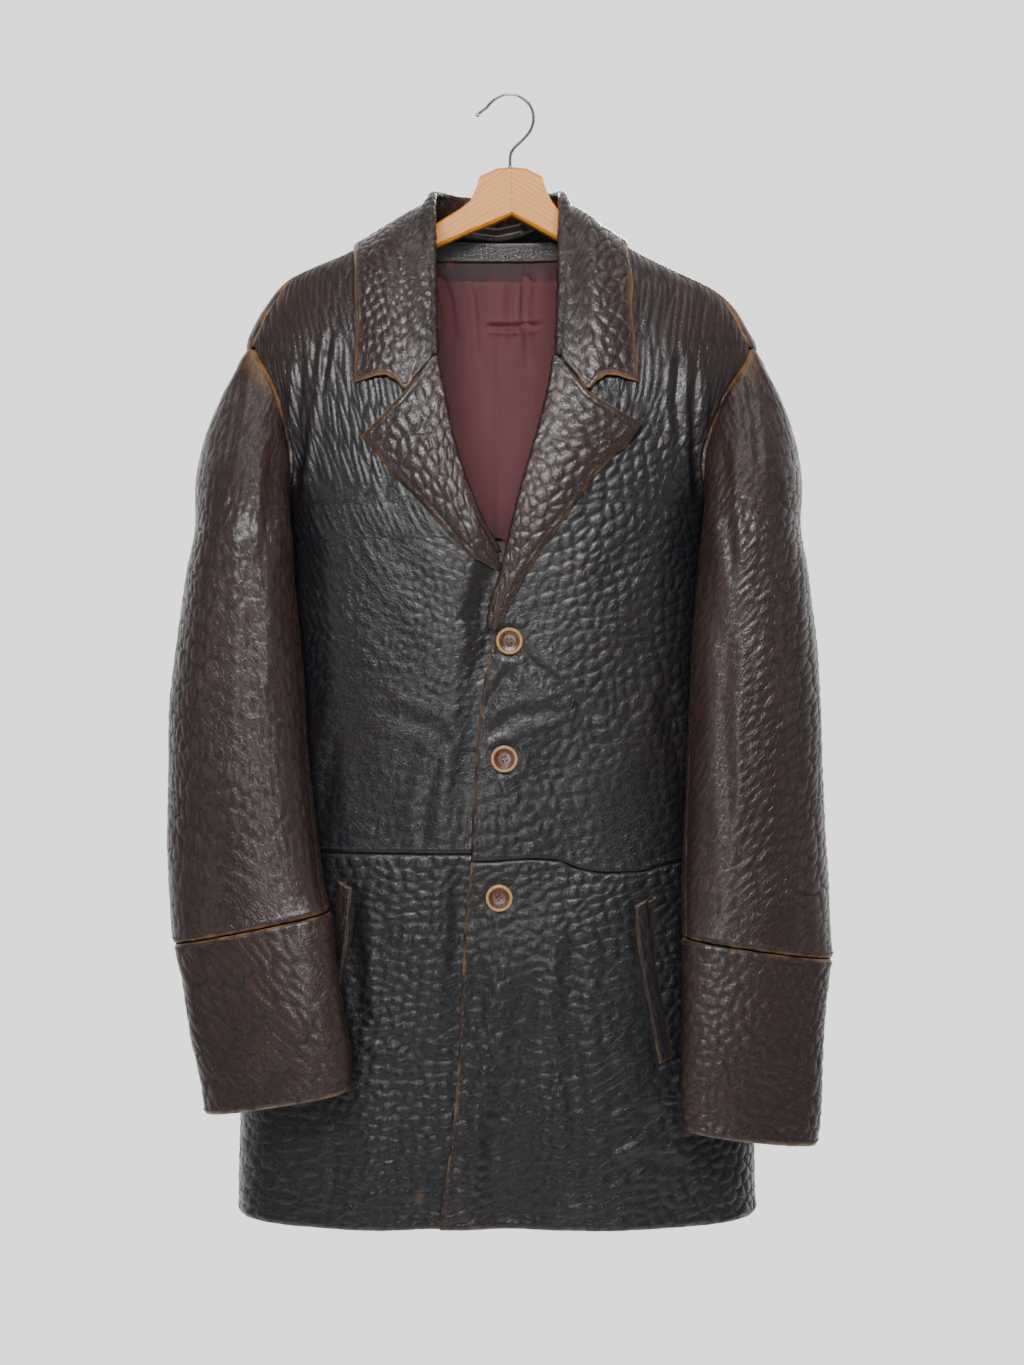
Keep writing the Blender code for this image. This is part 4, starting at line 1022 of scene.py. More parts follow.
class Finish:
    # A new material, with short calls for the nodes that it needs
    def __init__(self, name, space="UV"):
        self.mat = bpy.data.materials.new(name)
        self.mat.use_nodes = True
        self.tree = self.mat.node_tree
        self.where = self.node("ShaderNodeTexCoord").outputs[space]

    def node(self, kind, links=None, **values):
        return node(self.tree, kind, links, **values)

    def math(self, what, a, b=0.0, c=0.0, clamp=False):
        return self.node("ShaderNodeMath", {0: a, 1: b, 2: c}, operation=what, use_clamp=clamp).outputs[0]

    def times(self, a, b):
        return self.math("MULTIPLY", a, b)

    def fit(self, value, by, plus, clamp=False):
        return self.math("MULTIPLY_ADD", value, by, plus, clamp)

    def mix(self, share, a, b):
        a, b = (k if isinstance(k, bpy.types.NodeSocket) else (*k, 1) for k in (a, b))
        return self.node("ShaderNodeMix", {0: share, 6: a, 7: b}, data_type="RGBA").outputs[2]

    def ramp(self, value, low, high):
        links = {"Value": value, "From Min": low, "From Max": high}
        return self.node("ShaderNodeMapRange", links).outputs["Result"]

    def mark(self, key):
        return self.node("ShaderNodeAttribute", attribute_name=key).outputs["Fac"]

    def noise(self, scale, detail=3.0, rough=0.55, where=None):
        where = self.where if where is None else where
        links = {"Vector": where, "Scale": scale, "Detail": detail, "Roughness": rough}
        return self.node("ShaderNodeTexNoise", links).outputs["Fac"]

    def wave(self, scale, way, links=None):
        links = {"Vector": self.where, "Scale": scale, **(links or {})}
        return self.node("ShaderNodeTexWave", links, bands_direction=way).outputs["Fac"]

    def veins(self, scale, wide):
        # Lines between small cells
        links = {"Vector": self.where, "Scale": scale}
        made = self.node("ShaderNodeTexVoronoi", links, feature="DISTANCE_TO_EDGE")
        return self.ramp(made.outputs["Distance"], 0.0, wide)

    def stretch(self, scale):
        return self.node("ShaderNodeMapping", {"Vector": self.where, "Scale": scale}).outputs[0]

    def bump(self, height, distance, strength, under=None):
        links = {"Height": height, "Distance": distance, "Strength": strength}
        if under is not None:
            links["Normal"] = under
        return self.node("ShaderNodeBump", links).outputs["Normal"]

    def done(self, base, rough, normal=None, **numbers):
        links = {"Base Color": base, "Roughness": rough}
        if normal is not None:
            links["Normal"] = normal
        links.update({key.replace("_", " "): value for key, value in numbers.items()})
        feed(self.tree, self.tree.nodes["Principled BSDF"], links)
        return self.mat


def leather(name, cool, warm, rough):
    # Shrunken-grain leather: painted shade in the valleys between cells, polished cell tops, rubbed edges,
    # fine creases and pores
    m = Finish(name)
    wear, tint, relief = (m.mark(k) for k in ("wear", "tint", "relief"))
    patch = m.noise(60.0, 5.0, 0.62)
    mixed = m.math("ADD", tint, m.fit(m.noise(9.0, 4.0), 0.9, -0.45), clamp=True)
    base = m.mix(mixed, cool, warm)
    # Near black in the valleys of the relief mark: painted shade between the cells
    deep = m.ramp(relief, 0.42, 0.10)
    base = m.mix(m.times(deep, 0.85), base, (0.0018, 0.0015, 0.0018))
    top = m.times(m.ramp(relief, 0.62, 0.95), patch)
    base = m.mix(m.times(top, 0.42), base, [0.22 * k + 0.006 for k in OCHRE])
    rub = m.math("ADD", wear, m.times(m.fit(patch, 1.9, -0.95), m.times(wear, 1.2)))
    rub = m.ramp(rub, 0.16, 0.95)
    base = m.mix(rub, base, OCHRE)
    base = m.mix(m.times(m.noise(700.0, 2.0), 0.25), base, (0.002, 0.0018, 0.002))
    r = m.fit(deep, 0.42, m.fit(patch, 0.20, rough - 0.10))
    r = m.fit(rub, 0.16, r, clamp=True)
    n = m.bump(m.veins(250.0, 0.13), 0.00020, 0.6)
    n = m.bump(m.veins(800.0, 0.28), 0.00006, 0.5, n)
    n = m.bump(m.noise(150.0, 4.0), 0.0005, 0.5, n)
    return m.done(base, r, n, Coat_Weight=0.06, Coat_Roughness=0.2, Specular_IOR_Level=0.32)


def satin(name, lit, painted_shade):
    # Lining satin: close weave, soft streaks down the cloth. Its two colours are a lit one and a painted
    # shaded copy, mixed by noise, streaks and the tone mark, which paints the shade of its folds
    m = Finish(name)
    streak = m.noise(220.0, 4.0, where=m.stretch((1.0, 0.06, 1.0)))
    share = m.fit(m.noise(16.0), 0.5, m.fit(streak, 0.3, -0.35))
    share = m.math("ADD", share, m.mark("tint"), clamp=True)
    base = m.mix(m.mark("wear"), m.mix(share, lit, painted_shade), [k * 0.25 for k in painted_shade])
    n = m.bump(m.math("ADD", m.wave(900.0, "X"), m.wave(620.0, "Y")), 0.00006, 0.5)
    n = m.bump(streak, 0.0004, 0.35, n)
    return m.done(base, m.fit(streak, 0.2, 0.34), n, Specular_IOR_Level=0.25)


def thread(name, colour):
    m = Finish(name, "Object")
    twist = m.noise(1400.0, 2.0)
    base = m.mix(twist, colour, [k * 0.45 for k in colour])
    return m.done(base, 0.7, m.bump(twist, 0.0001, 0.6))


def woven(name):
    # Dark label cloth with a pale border
    m = Finish(name)
    weave = m.wave(1500.0, "Y")
    pale = m.mix(weave, (0.42, 0.40, 0.38), (0.55, 0.53, 0.50))
    base = m.mix(m.mark("wear"), (0.012, 0.011, 0.013), pale)
    return m.done(base, 0.62, m.bump(weave, 0.00005, 0.6))


def pine(name):
    # Grain that follows the slope of each arm, and the joint between the halves
    m = Finish(name, "Object")
    x, y, z = m.node("ShaderNodeSeparateXYZ", {0: m.where}).outputs
    across = m.math("ABSOLUTE", m.math("SUBTRACT", x, 0.0015))
    level = m.fit(across, ARM_SLOPE, z)
    along = m.fit(z, -ARM_SLOPE, across)
    at = m.node("ShaderNodeCombineXYZ", {0: m.times(along, 0.1), 1: y, 2: level}).outputs[0]
    rings = m.wave(62.0, "Z", {"Vector": at, "Distortion": 5.0, "Detail": 3.0, "Detail Scale": 1.4})
    fibre = m.noise(900.0, where=at)
    share = m.fit(fibre, 0.35, m.times(rings, 0.6), clamp=True)
    base = m.mix(share, (0.62, 0.235, 0.003), (0.42, 0.130, 0.002))
    joint = m.ramp(across, 0.0007, 0.0002)
    base = m.mix(m.times(joint, 0.7), base, (0.22, 0.09, 0.02))
    return m.done(base, m.fit(fibre, 0.15, 0.42), m.bump(share, 0.0002, 0.4))


def wire(name):
    m = Finish(name, "Object")
    scuff = m.noise(420.0, 5.0)
    base = m.mix(scuff, (0.52, 0.53, 0.55), (0.24, 0.25, 0.27))
    return m.done(base, m.fit(scuff, 0.25, 0.12), m.bump(scuff, 0.0001, 0.2), Metallic=1.0)


def painted_hole_shade(name):
    # Near black for the buttons' holes: painted shade
    m = Finish(name, "Object")
    return m.done(m.mix(m.noise(900.0), (0.004, 0.003, 0.003), (0.014, 0.010, 0.008)), 0.8)


def horn(name, centre):
    # Horn disc with a groove and a cream and gold rim, by distance from its centre
    m = Finish(name, "Object")
    x, _, z = m.node("ShaderNodeSeparateXYZ", {0: m.where}).outputs
    dx = m.math("SUBTRACT", x, centre[0] * MM)
    dz = m.math("SUBTRACT", z, centre[2] * MM)
    radius = m.math("SQRT", m.math("ADD", m.times(dx, dx), m.times(dz, dz)))
    streak = m.noise(500.0, 4.0, where=m.stretch((1, 1, 0.2)))
    disc = m.mix(streak, (0.018, 0.006, 0.003), (0.095, 0.030, 0.010))
    cream = m.mix(streak, (0.42, 0.25, 0.085), (0.22, 0.105, 0.030))
    base = m.mix(m.ramp(radius, 0.0091, 0.0095), disc, cream)
    groove = m.times(m.ramp(radius, 0.0087, 0.0090), m.ramp(radius, 0.0096, 0.0093))
    base = m.mix(groove, base, (0.02, 0.008, 0.004))
    return m.done(base, m.fit(streak, 0.18, 0.18), m.bump(streak, 0.00012, 0.4))


COOL = (0.0052, 0.0056, 0.0078)
WARM = (0.026, 0.0130, 0.0115)
OCHRE = (0.17, 0.088, 0.030)
BODY = leather("body_leather", COOL, WARM, 0.32)
TRIM = leather("trim_leather", (0.008, 0.0065, 0.006), (0.030, 0.0145, 0.0120), 0.27)
ARM = leather("arm_leather", (0.011, 0.0068, 0.0070), (0.030, 0.0145, 0.0125), 0.29)
# Each satin's second colour is a painted shaded copy of its first
SATIN = satin("lining_satin", (0.072, 0.0075, 0.0095), (0.014, 0.0018, 0.0026))
DARK_SATIN = satin("inner_lining_satin", (0.030, 0.007, 0.008), (0.012, 0.003, 0.004))
THREAD = thread("brown_thread", (0.034, 0.021, 0.012))
LINED = (BODY, DARK_SATIN)


def front_grid(side, low, high, gap_low, gap_high):
    # Fine grid of a front panel between two heights
    rows = []
    count = steps_to(high - low, STEP * 0.97)
    cols = steps_to(262 if low > WAIST_Z - 1 else 290, STEP)
    shares = np.linspace(0, 1, cols + 1)
    shares = shares - 0.16 * np.sin(2 * np.pi * shares) / (2 * np.pi)
    zs = np.linspace(low, high, count + 1)
    for z in zs:
        rows.append(front_row(side, z, shares))
    grid = np.array(rows)
    grid[0, :, 2] += gap_low
    grid[-1, :, 2] -= gap_high
    return place(side, grid)


def patchy(u, v, seed):
    # Uneven share for rubbed places
    return 0.5 + 0.3 * waves(u, v, 9, 9, seed) + 0.25 * waves(u, v, 27, 27, seed + 1)


def rubbed(wear, u, v, seed):
    # Wear broken up into uneven patches
    return wear * np.clip(patchy(u, v, seed), 0, 1.2)


def pucker(d, along, reach, seed, high=0.5):
    # Small gathers square to a seam
    return high * fade(d, reach) * waves(along, d, 6.5, 16, seed)


def rolled(d):
    # Turned edge with the groove of its stitching
    return dip(d, 1.0, 1.2) + dip(d - 5.0, 0.35, 0.9) + ridge(d, 2.6, 0.3, 1.4)


def button_bed(h, s, at, deep):
    # Plain pressed place under a button, with a soft bulge round it
    r = np.hypot(s.x - at[0], s.z - at[1])
    h = h * (1 - np.exp(-(r / 15) ** 4)) - deep * np.exp(-(r / 14) ** 4)
    return h + (deep + 0.1) * np.exp(-((r - 19) / 4) ** 2)


def build_front(side):
    s = survey(front_grid(side, WAIST_Z, TOP_Z, GAP / 2, 0.0), (0, -1, 0))
    u, v = s.last, s.z - 0.35 * s.p[..., 1]
    x, z = s.x, s.z
    top = smooth((z + 350) / 90)
    if side == "left":
        long = 3.0 * smooth((z + 500) / 110) * (1 - 0.8 * blob(s, -10, -440, 60, 60))
        fields = [(long, 5.8, 40, 0.02, 0.85),
                  (0.8, 7.5, 19, -0.05, 0.85),
                  (2.2 * blob(s, -40, -500, 55, 110), 8.0, 11, 0.5, 0.95),
                  (1.3 * smooth((-z - 540) / 90), 9.0, 14, 0.25, 0.6)]
        lines = [([(-178, -248), (-180, -300), (-183, -350), (-186, -400)], 4.5, 2.6),
                 ([(-166, -238), (-170, -290), (-176, -345), (-180, -372)], 3.6, 2.0),
                 ([(-152, -232), (-157, -268), (-163, -300)], 3.2, 1.3),
                 ([(-70, -716), (-60, -650), (-40, -590)], 6, 0.9),
                 ([(-20, -640), (-60, -600), (-110, -585)], 7, 0.7),
                 ([(-130, -560), (-150, -630), (-160, -700)], 8, 0.9)]
        calm = 1 - 0.25 * blob(s, -150, -590, 45, 90)
    else:
        fields = [(2.6 * top * smooth((x - 90) / 40), 7.0, 46, 0.04, 0.9),
                  (1.0 * top, 8.0, 17, 0.1, 0.8),
                  (0.8, 11.0, 12.5, 0.3, 0.95),
                  (1.5 * blob(s, 10, -560, 50, 90), 9.0, 12.0, 0.8, 0.7)]
        lines = [([(184, -262), (180, -310), (182, -360), (186, -400)], 4.5, 2.4),
                 ([(168, -250), (164, -300), (168, -350)], 4.0, 1.6),
                 ([(11, -523), (50, -560), (100, -600)], 6, 1.2),
                 ([(-15, -610), (20, -590), (60, -585)], 6, 1.1),
                 ([(7, -629), (30, -665), (60, -700)], 6, 1.0),
                 ([(20, -540), (-5, -575), (-18, -600)], 5, 1.0),
                 ([(150, -560), (165, -620), (180, -700)], 8, 1.0)]
        calm = 1 - 0.75 * blob(s, 118, -680, 50, 48) - 0.5 * blob(s, 5, -600, 32, 60)
    under = smooth((40 - s.last) / 25) * smooth((z + 470) / 30)
    h = grain(s, u, v, fields, 11 if side == "left" else 47) * calm * (1 - 0.6 * under)
    h = h * smooth(s.first / 7) * smooth(s.low / 6)
    h = h + creases(s, lines) * smooth(s.first / 6)
    h = h + 0.9 * waves(u, v, 34, 60, 5) * smooth(s.first / 20) * (1 - under)
    shoulder = smooth((z - ARMPIT_Z) / 20)
    h = h + dip(s.first, 1.3, 1.6) + dip(s.low, 0.8, 1.2)
    h = h + ridge(s.first, 3.5, 0.5, 2.0) * shoulder + ridge(s.low, 3.0, 0.45, 1.8)
    h = h + pucker(s.low, u, 9, 71) + pucker(s.first, v, 9, 73) * shoulder
    below = smooth((LAPEL_FOLD_Z[side][1] - 2 - z) / 6)
    h = h + below * (rolled(s.last) + pucker(s.last, v, 7, 79, 0.35))
    if side == "right":
        for at in BUTTONS[:2]:
            h = button_bed(h, s, at, 0.5)
    wear = 1.3 * fade(s.first, 3.0) * shoulder + 0.55 * smooth((z + 262) / 60) * fade(s.first, 26)
    wear = wear + 1.1 * fade(s.last, 1.6) * below + 0.5 * fade(s.low, 1.3)
    wear = rubbed(wear, u, v, 17)
    tint = 0.12 + 0.75 * smooth((z + 330) / 130) * smooth((np.abs(x) - 90) / 90)
    tint = tint + 0.25 * fade(s.last, 10) * below + 0.25 * smooth((z + 300) / 120)
    h = np.clip(h, RELIEF_LOW, 3.6)
    cloth("front_upper_" + side, s, h, WALL, LINED, u, v, wear, tint, (0.29, 0.62), "hung",
          ["hanger_wood"], 0.13)
    sew("body", s, "last", 4.6, high=LAPEL_FOLD_Z[side][1] - 4, pitch=3.4)
    sew("body", s, "low", 4.2)
    sew("body", s, "first", 5.2, low=ARMPIT_Z + 5, pitch=3.4)
    build_skirt(side)


def build_skirt(side):
    # Front below the waist seam, with the line sunk beside its pocket welt and painted shadow along it
    s = survey(front_grid(side, HEM_Z, WAIST_Z, 0.0, GAP / 2), (0, -1, 0))
    u, v = s.last, s.z
    x, z = s.x, s.z
    if side == "left":
        fields = [(1.0, 12.5, 10.0, 0.02, 1.25),
                  (1.6 * blob(s, -105, -920, 24, 190), 10.5, 10.5, 0.1, 1.8),
                  (1.3 * smooth((-x - 130) / 40), 24, 11, -0.12, 1.0),
                  (1.2 * blob(s, -30, -800, 30, 90), 9, 11, 0.3, 1.1)]
        lines = [([(-30, -724), (-34, -850), (-30, -1000)], 8, 1.2),
                 ([(-128, -740), (-130, -800), (-124, -880)], 7, 1.6),
                 ([(-150, -960), (-146, -1010), (-152, -1050)], 6, 1.0),
                 ([(-60, -900), (-95, -880), (-120, -884)], 5, 0.8)]
        calm = 1.0
    else:
        fields = [(0.9, 13, 10.5, 0.25, 1.25),
                  (1.6 * blob(s, 10, -900, 24, 150), 10, 17, -0.45, 1.3),
                  (1.4 * blob(s, 110, -940, 46, 110), 22, 10, 0.5, 1.2),
                  (1.2 * blob(s, 45, -920, 22, 190), 10, 10.5, 0.1, 1.7)]
        lines = [([(-10, -800), (-24, -880), (-32, -960), (-36, -1040)], 7, 1.6),
                 ([(30, -800), (22, -880), (0, -960), (-10, -1040)], 8, 1.3),
                 ([(70, -760), (66, -860), (74, -960), (70, -1050)], 8, 1.6),
                 ([(100, -980), (140, -950), (190, -940)], 7, 1.0),
                 ([(95, -1010), (130, -990), (180, -1000)], 6, 0.8)]
        calm = 1 - 0.7 * blob(s, 5, -760, 34, 34)
    h = grain(s, u, v, fields, 101 if side == "left" else 151) * calm
    edge = nearest(s, "first", "high", "low")
    h = h * smooth(edge / 6)
    h = h + creases(s, lines) + 1.2 * waves(u, v, 40, 75, 9) * smooth(edge / 20)
    h = h + dip(s.first, 1.2, 1.6) + dip(s.high, 0.8, 1.2) + ridge(s.high, 3.2, 0.4, 1.8)
    h = h + dip(s.low, 1.0, 1.3) + ridge(s.low, 4.0, 0.6, 3.0) + rolled(s.last)
    h = h + pucker(s.high, u, 10, 81) + pucker(s.last, v, 8, 83, 0.4) + pucker(s.low, u, 10, 85, 0.6)
    line = [(SIGN[side] * q, zz) for q, zz in WELT_LINE[side]]
    r = line_distance(s, line)[0]
    h = h - 1.5 * np.exp(-((r - 0.5) / 3.0) ** 2)
    # Relief mark set to the valley value along the pocket line, so the leather paints it near black: painted
    # shadow in the pocket's mouth
    s.cell = s.cell * (1 - np.exp(-(r / 3.4) ** 4))
    under = blob(s, SIGN[side] * (WELT_LINE[side][1][0] + 8), -830, 14, 90)
    h = h * (1 - 0.7 * under)
    if side == "right":
        h = button_bed(h, s, BUTTONS[2], 0.4)
    wear = 1.2 * fade(s.last, 1.8) + 0.9 * fade(s.low, 1.8) + 0.4 * fade(s.high, 1.2)
    wear = rubbed(wear, u, v, 19)
    if side == "left":
        spot = np.hypot((x + 71) / 8, (z + 1024) / 12)
        wear = wear + 0.5 * smooth(1.25 - spot) * np.clip(patchy(u, v, 29), 0, 1.3)
    tint = 0.05 + 0.35 * fade(s.last, 9) + 0.3 * fade(s.low, 12)
    h = np.clip(h, RELIEF_LOW, 3.6)
    cloth("front_skirt_" + side, s, h, WALL, LINED, u, v, wear, tint, (0.31, 0.345), "hung",
          ["front_upper_" + side], 0.103)
    sew("body", s, "last", 4.6, pitch=3.4)
    sew("body", s, "low", 22.0, pitch=3.8)


def back_grid(low, high, gap_low, gap_high):
    # Grid of a back panel between two heights, coarser than the fronts
    step = STEP * 1.45
    count = steps_to(high - low, step)
    cols = steps_to(275, step)
    grid = np.array([back_row(z, cols) for z in np.linspace(low, high, count + 1)])
    grid[0, :, 2] += gap_low
    grid[-1, :, 2] -= gap_high
    return grid


def build_back():
    for name, low, high, g0, g1 in (("back_upper", WAIST_Z, TOP_Z, GAP / 2, 0.0),
                                    ("back_skirt", HEM_Z, WAIST_Z, 0.0, GAP / 2)):
        s = survey(back_grid(low, high, g0, g1), (0, 1, 0))
        upper = name == "back_upper"
        side_gap = nearest(s, "first", "last")
        u, v = s.first, s.z + 0.4 * s.p[..., 1]
        x, z = s.x, s.z
        if upper:
            top = smooth((z + 330) / 90)
            fields = [(1.5 * top, 7.5, 36, 0.02, 0.8), (1.0, 10.5, 13, 0.2, 0.9),
                      (1.2 * blob(s, -110, -520, 60, 120), 9, 18, -0.2, 0.9),
                      (1.2 * blob(s, 120, -480, 60, 130), 14, 9, 0.1, 0.9)]
            lines = [([(170, -250), (176, -330), (178, -400)], 5, 2.0),
                     ([(-170, -250), (-176, -330), (-178, -400)], 5, 2.0),
                     ([(-150, -640), (-60, -620), (40, -640)], 9, 1.2),
                     ([(150, -600), (60, -585), (-20, -600)], 9, 1.0),
                     ([(-40, -700), (-30, -640), (-50, -560)], 9, 1.0)]
            seam = s.low
        else:
            fields = [(1.0, 13, 9, 0.05, 1.0), (1.3 * blob(s, 90, -900, 40, 150), 10, 11, 0.3, 1.4),
                      (1.2 * blob(s, -100, -940, 46, 110), 21, 9, -0.4, 1.0)]
            lines = [([(-110, -760), (-120, -900), (-116, -1040)], 10, 1.6),
                     ([(100, -760), (112, -900), (106, -1040)], 10, 1.6)]
            seam = s.high
        h = grain(s, u, v, fields, 211 if upper else 251)
        h = h * smooth(side_gap / 7) * smooth(seam / 6)
        h = h + creases(s, lines) + 1.1 * waves(u, v, 44, 80, 25) * smooth(side_gap / 20)
        h = h + dip(side_gap, 1.2, 1.8) + dip(seam, 1.2, 1.7) + ridge(seam, 3.4, 0.4, 2.0)
        h = h + pucker(seam, u, 10, 91) + pucker(side_gap, v, 9, 93, 0.35)
        wear = 0.4 * fade(seam, 1.6)
        if upper:
            wear = wear + 1.1 * fade(side_gap, 3.5) * smooth((z - ARMPIT_Z) / 20)
            wear = wear + 0.9 * smooth((z + 262) / 60) * fade(side_gap, 24)
        else:
            h = h + dip(s.low, 1.0, 1.5) + ridge(s.low, 4.5, 0.6, 3.2)
            h = h + pucker(s.low, u, 10, 95, 0.5)
            wear = wear + 0.9 * fade(s.low, 2.2)
        wear = rubbed(wear, u, v, 23)
        tint = 0.1 + 0.8 * smooth((z + 300) / 110) * smooth((np.abs(x) - 60) / 90)
        h = np.clip(h, RELIEF_LOW, 3.4)
        cut = (0.62, 0.66), "hung", ["hanger_wood"], 0.28
        if not upper:
            cut = (0.53, 0.35), "hung", ["back_upper"], 0.174
        cloth(name, s, h, WALL, LINED, u, v, wear, tint, *cut)
        sew("body", s, "low", 4.4 if upper else 22.0, pitch=4.0)


def build_sleeve(side):
    # The head's edge runs on behind the armhole as its seam allowance
    loop = armhole_loop(side)
    inward = loop.mean(axis=0) - loop
    tuck = loop + inward / np.linalg.norm(inward, axis=1, keepdims=True) * SEAM_IN
    tuck[:, 0] = tuck[:, 0] - SEAM_UNDER
    grid = np.concatenate([tuck[None], sleeve_grid(side)])
    hint = tube_hint(side, grid)
    grid = place(side, grid)
    lead = np.linalg.norm(grid[1] - grid[0], axis=1).mean()
    along = np.roll(grid, -1, axis=1) - np.roll(grid, 1, axis=1)
    along = along / np.linalg.norm(along, axis=2, keepdims=True)
    for part, cols in (("top_sleeve_", TOP_SLEEVE), ("under_sleeve_", UNDER_SLEEVE)):
        pick = [k % SLEEVE_ROUND for k in range(cols[0], cols[1] + 1)]
        panel = grid[:, pick]
        panel[:, 0] = panel[:, 0] + along[:, pick[0]] * GAP / 2
        panel[:, -1] = panel[:, -1] - along[:, pick[-1]] * GAP / 2
        s = survey(refine(panel, STEP * 1.12), hint[:, pick])
        s.low = s.low - lead
        dress_sleeve(side, part + side, s)
    g = cuff_grid(side)
    s = survey(refine(place(side, g), STEP * 1.12, ring=True), tube_hint(side, g), ring=True)
    dress_sleeve(side, "cuff_" + side, s)


def dress_sleeve(side, name, s):
    # Grain, seams and wear of a sleeve panel or cuff
    cols = s.p.shape[1]
    is_cuff = name.startswith("cuff")
    front = int(cols * (0.25 if is_cuff else 0.69))
    u = s.first - s.first[:, front:front + 1]
    if is_cuff:
        u = np.where(u > s.total / 2, u - s.total, u)
        seam = s.total / 2 - np.abs(u)
    else:
        seam = nearest(s, "first", "last")
    v = -s.low
    x, z = s.x, s.z
    lines = []
    if is_cuff and side == "left":
        fields = [(1.0, 8.4, 34, 0.62, 1.15), (0.6 * smooth((x + 190) / 50), 11, 16, 0.4, 0.7)]
    elif is_cuff:
        fields = [(1.0, 9.5, 12.5, 0.5, 1.15), (1.2 * blob(s, 230, -930, 34, 40), 20, 9, 0.3, 1.1)]
    elif side == "left":
        fields = [(1.0, 7.5, 19, 0.06, 0.95), (1.2 * smooth((z + 420) / 80), 8, 30, 0.0, 0.7),
                  (1.2 * blob(s, -225, -480, 28, 120), 11, 17, -0.15, 1.1),
                  (1.2 * smooth((-z - 690) / 60), 9, 15, 0.3, 0.6)]
        lines = [([(-237, -261), (-240, -320), (-243, -376)], 3.0, 1.0),
                 ([(-205, -330), (-203, -400), (-208, -470)], 5.0, 1.6),
                 ([(-222, -400), (-216, -500), (-220, -600)], 7.0, 1.4)]
    else:
        fields = [(1.0, 17, 10, 0.06, 1.05), (1.5 * smooth((z + 400) / 70), 8, 26, 0.05, 0.8),
                  (1.2 * blob(s, 205, -560, 24, 130), 11, 11, 0.2, 0.9)]
        lines = [([(232, -262), (236, -320), (238, -380)], 3.0, 1.0),
                 ([(208, -330), (205, -400), (210, -470)], 5.0, 1.6),
                 ([(206, -500), (202, -600), (205, -700)], 6.0, 1.4)]
    seed = {"top": 301, "under": 311, "cuff": 381}[name.split("_")[0]] + (40 if side == "right" else 0)
    h = grain(s, u, v, fields, seed)
    if name == "top_sleeve_right":
        h = h * (1 - 0.6 * smooth((-z - 735) / 40))
    low = np.abs(s.low)
    edge = np.minimum(np.minimum(low, s.high), seam)
    h = h * smooth(edge / 6) * (0.8 if is_cuff else 1.0)
    h = h + 1.2 * waves(u, v, 36, 60, seed + 9) * smooth(edge / 18) + creases(s, lines) * smooth(low / 8)
    h = h + dip(seam, 1.0, 1.5) + dip(low, 0.7, 1.3) + ridge(s.low, 3.8, 0.5, 2.2)
    h = h + pucker(low, u, 10, seed + 1, 0.6) + pucker(seam, v, 7, seed + 2, 0.3)
    h = h + dip(s.high, 0.7, 1.2) + ridge(s.high, 3.4, 0.6, 2.0) + pucker(s.high, u, 9, seed + 3, 0.5)
    wear = 1.25 * fade(s.high, 2.2) + (1.15 if is_cuff else 0.9) * fade(low, 2.2)
    if not is_cuff:
        crown = smooth((z + 330) / 70)
        wear = wear + 0.65 * crown * fade(low, 24) + 0.25 * fade(low, 40) * crown
    wear = rubbed(wear, u, v, seed + 5)
    tint = 0.72 + 0.25 * waves(u, v, 60, 90, seed + 6)
    h = np.clip(h, RELIEF_LOW, 3.2)
    if is_cuff:
        flat, area, rests = (0.35, 0.155), 0.051, ["top_sleeve_" + side, "under_sleeve_" + side]
    elif name.startswith("top"):
        flat, area, rests = (0.29, 0.60), 0.125, ["front_upper_" + side, "back_upper"]
    else:
        flat, area, rests = (0.14, 0.50), 0.055, ["top_sleeve_" + side, "back_upper"]
    cloth(name, s, h, WALL, (ARM, DARK_SATIN), u, v, wear, tint, flat, "hung", rests, area)
    sew("arm", s, "high", 4.2)
    if is_cuff:
        sew("arm", s, "low", 4.0)


def build_lapel(side):
    g = lapel_grid(side, LAPEL_ROWS, LAPEL_STEPS)
    if side == "left":
        # Its lower end runs on under the right lapel
        run = g[-1] - g[-2]
        run = run / np.linalg.norm(run, axis=1, keepdims=True) * UNDER_RUN
        g = np.concatenate([g, (g[-1] + run + np.array([0, 0.8, 0]))[None]])
    s = survey(refine(g, STEP * 0.82), lapel_hint(g))
    u, v = s.last, s.low
    seed = 501 if side == "left" else 541
    h = grain(s, u, v, [(1.0, 10.5, 15.5, 0.12 if side == "left" else -0.3, 1.25)], seed)
    leaf = smooth((s.first - 34) / 8)
    edge = nearest(s, "last", "low", "high")
    h = h * smooth((edge - 1.0) / 8) * (0.55 + 0.45 * leaf)
    h = h + leaf * (dip(edge, 0.7, 1.1) + ridge(edge, 3.0, 0.45, 1.8) + dip(edge - 6.0, 0.4, 1.0))
    h = h + pucker(edge, u + v, 8, seed + 1, 0.35) * leaf
    wear = rubbed(leaf * (1.35 * fade(edge, 1.5)), u, v, seed + 2)
    wear = wear + 0.35 * np.exp(-((s.first - 20) / 9) ** 2) * patchy(u, v, seed + 4)
    tint = 0.75 + 0.15 * waves(u, v, 30, 30, seed + 3)
    cloth("lapel_" + side, s, np.clip(h, -0.9, 2.2), ROLL_WALL, (TRIM, DARK_SATIN), u, v, wear, tint,
          (0.12, 0.19 if side == "left" else 0.25), "folded", ["front_upper_" + side],
          0.0118 if side == "left" else 0.0150)
    sew("trim", s, "last", 6.0, pitch=3.2)
    sew("trim", s, "low", 6.0, pitch=3.2, thick=0.36)


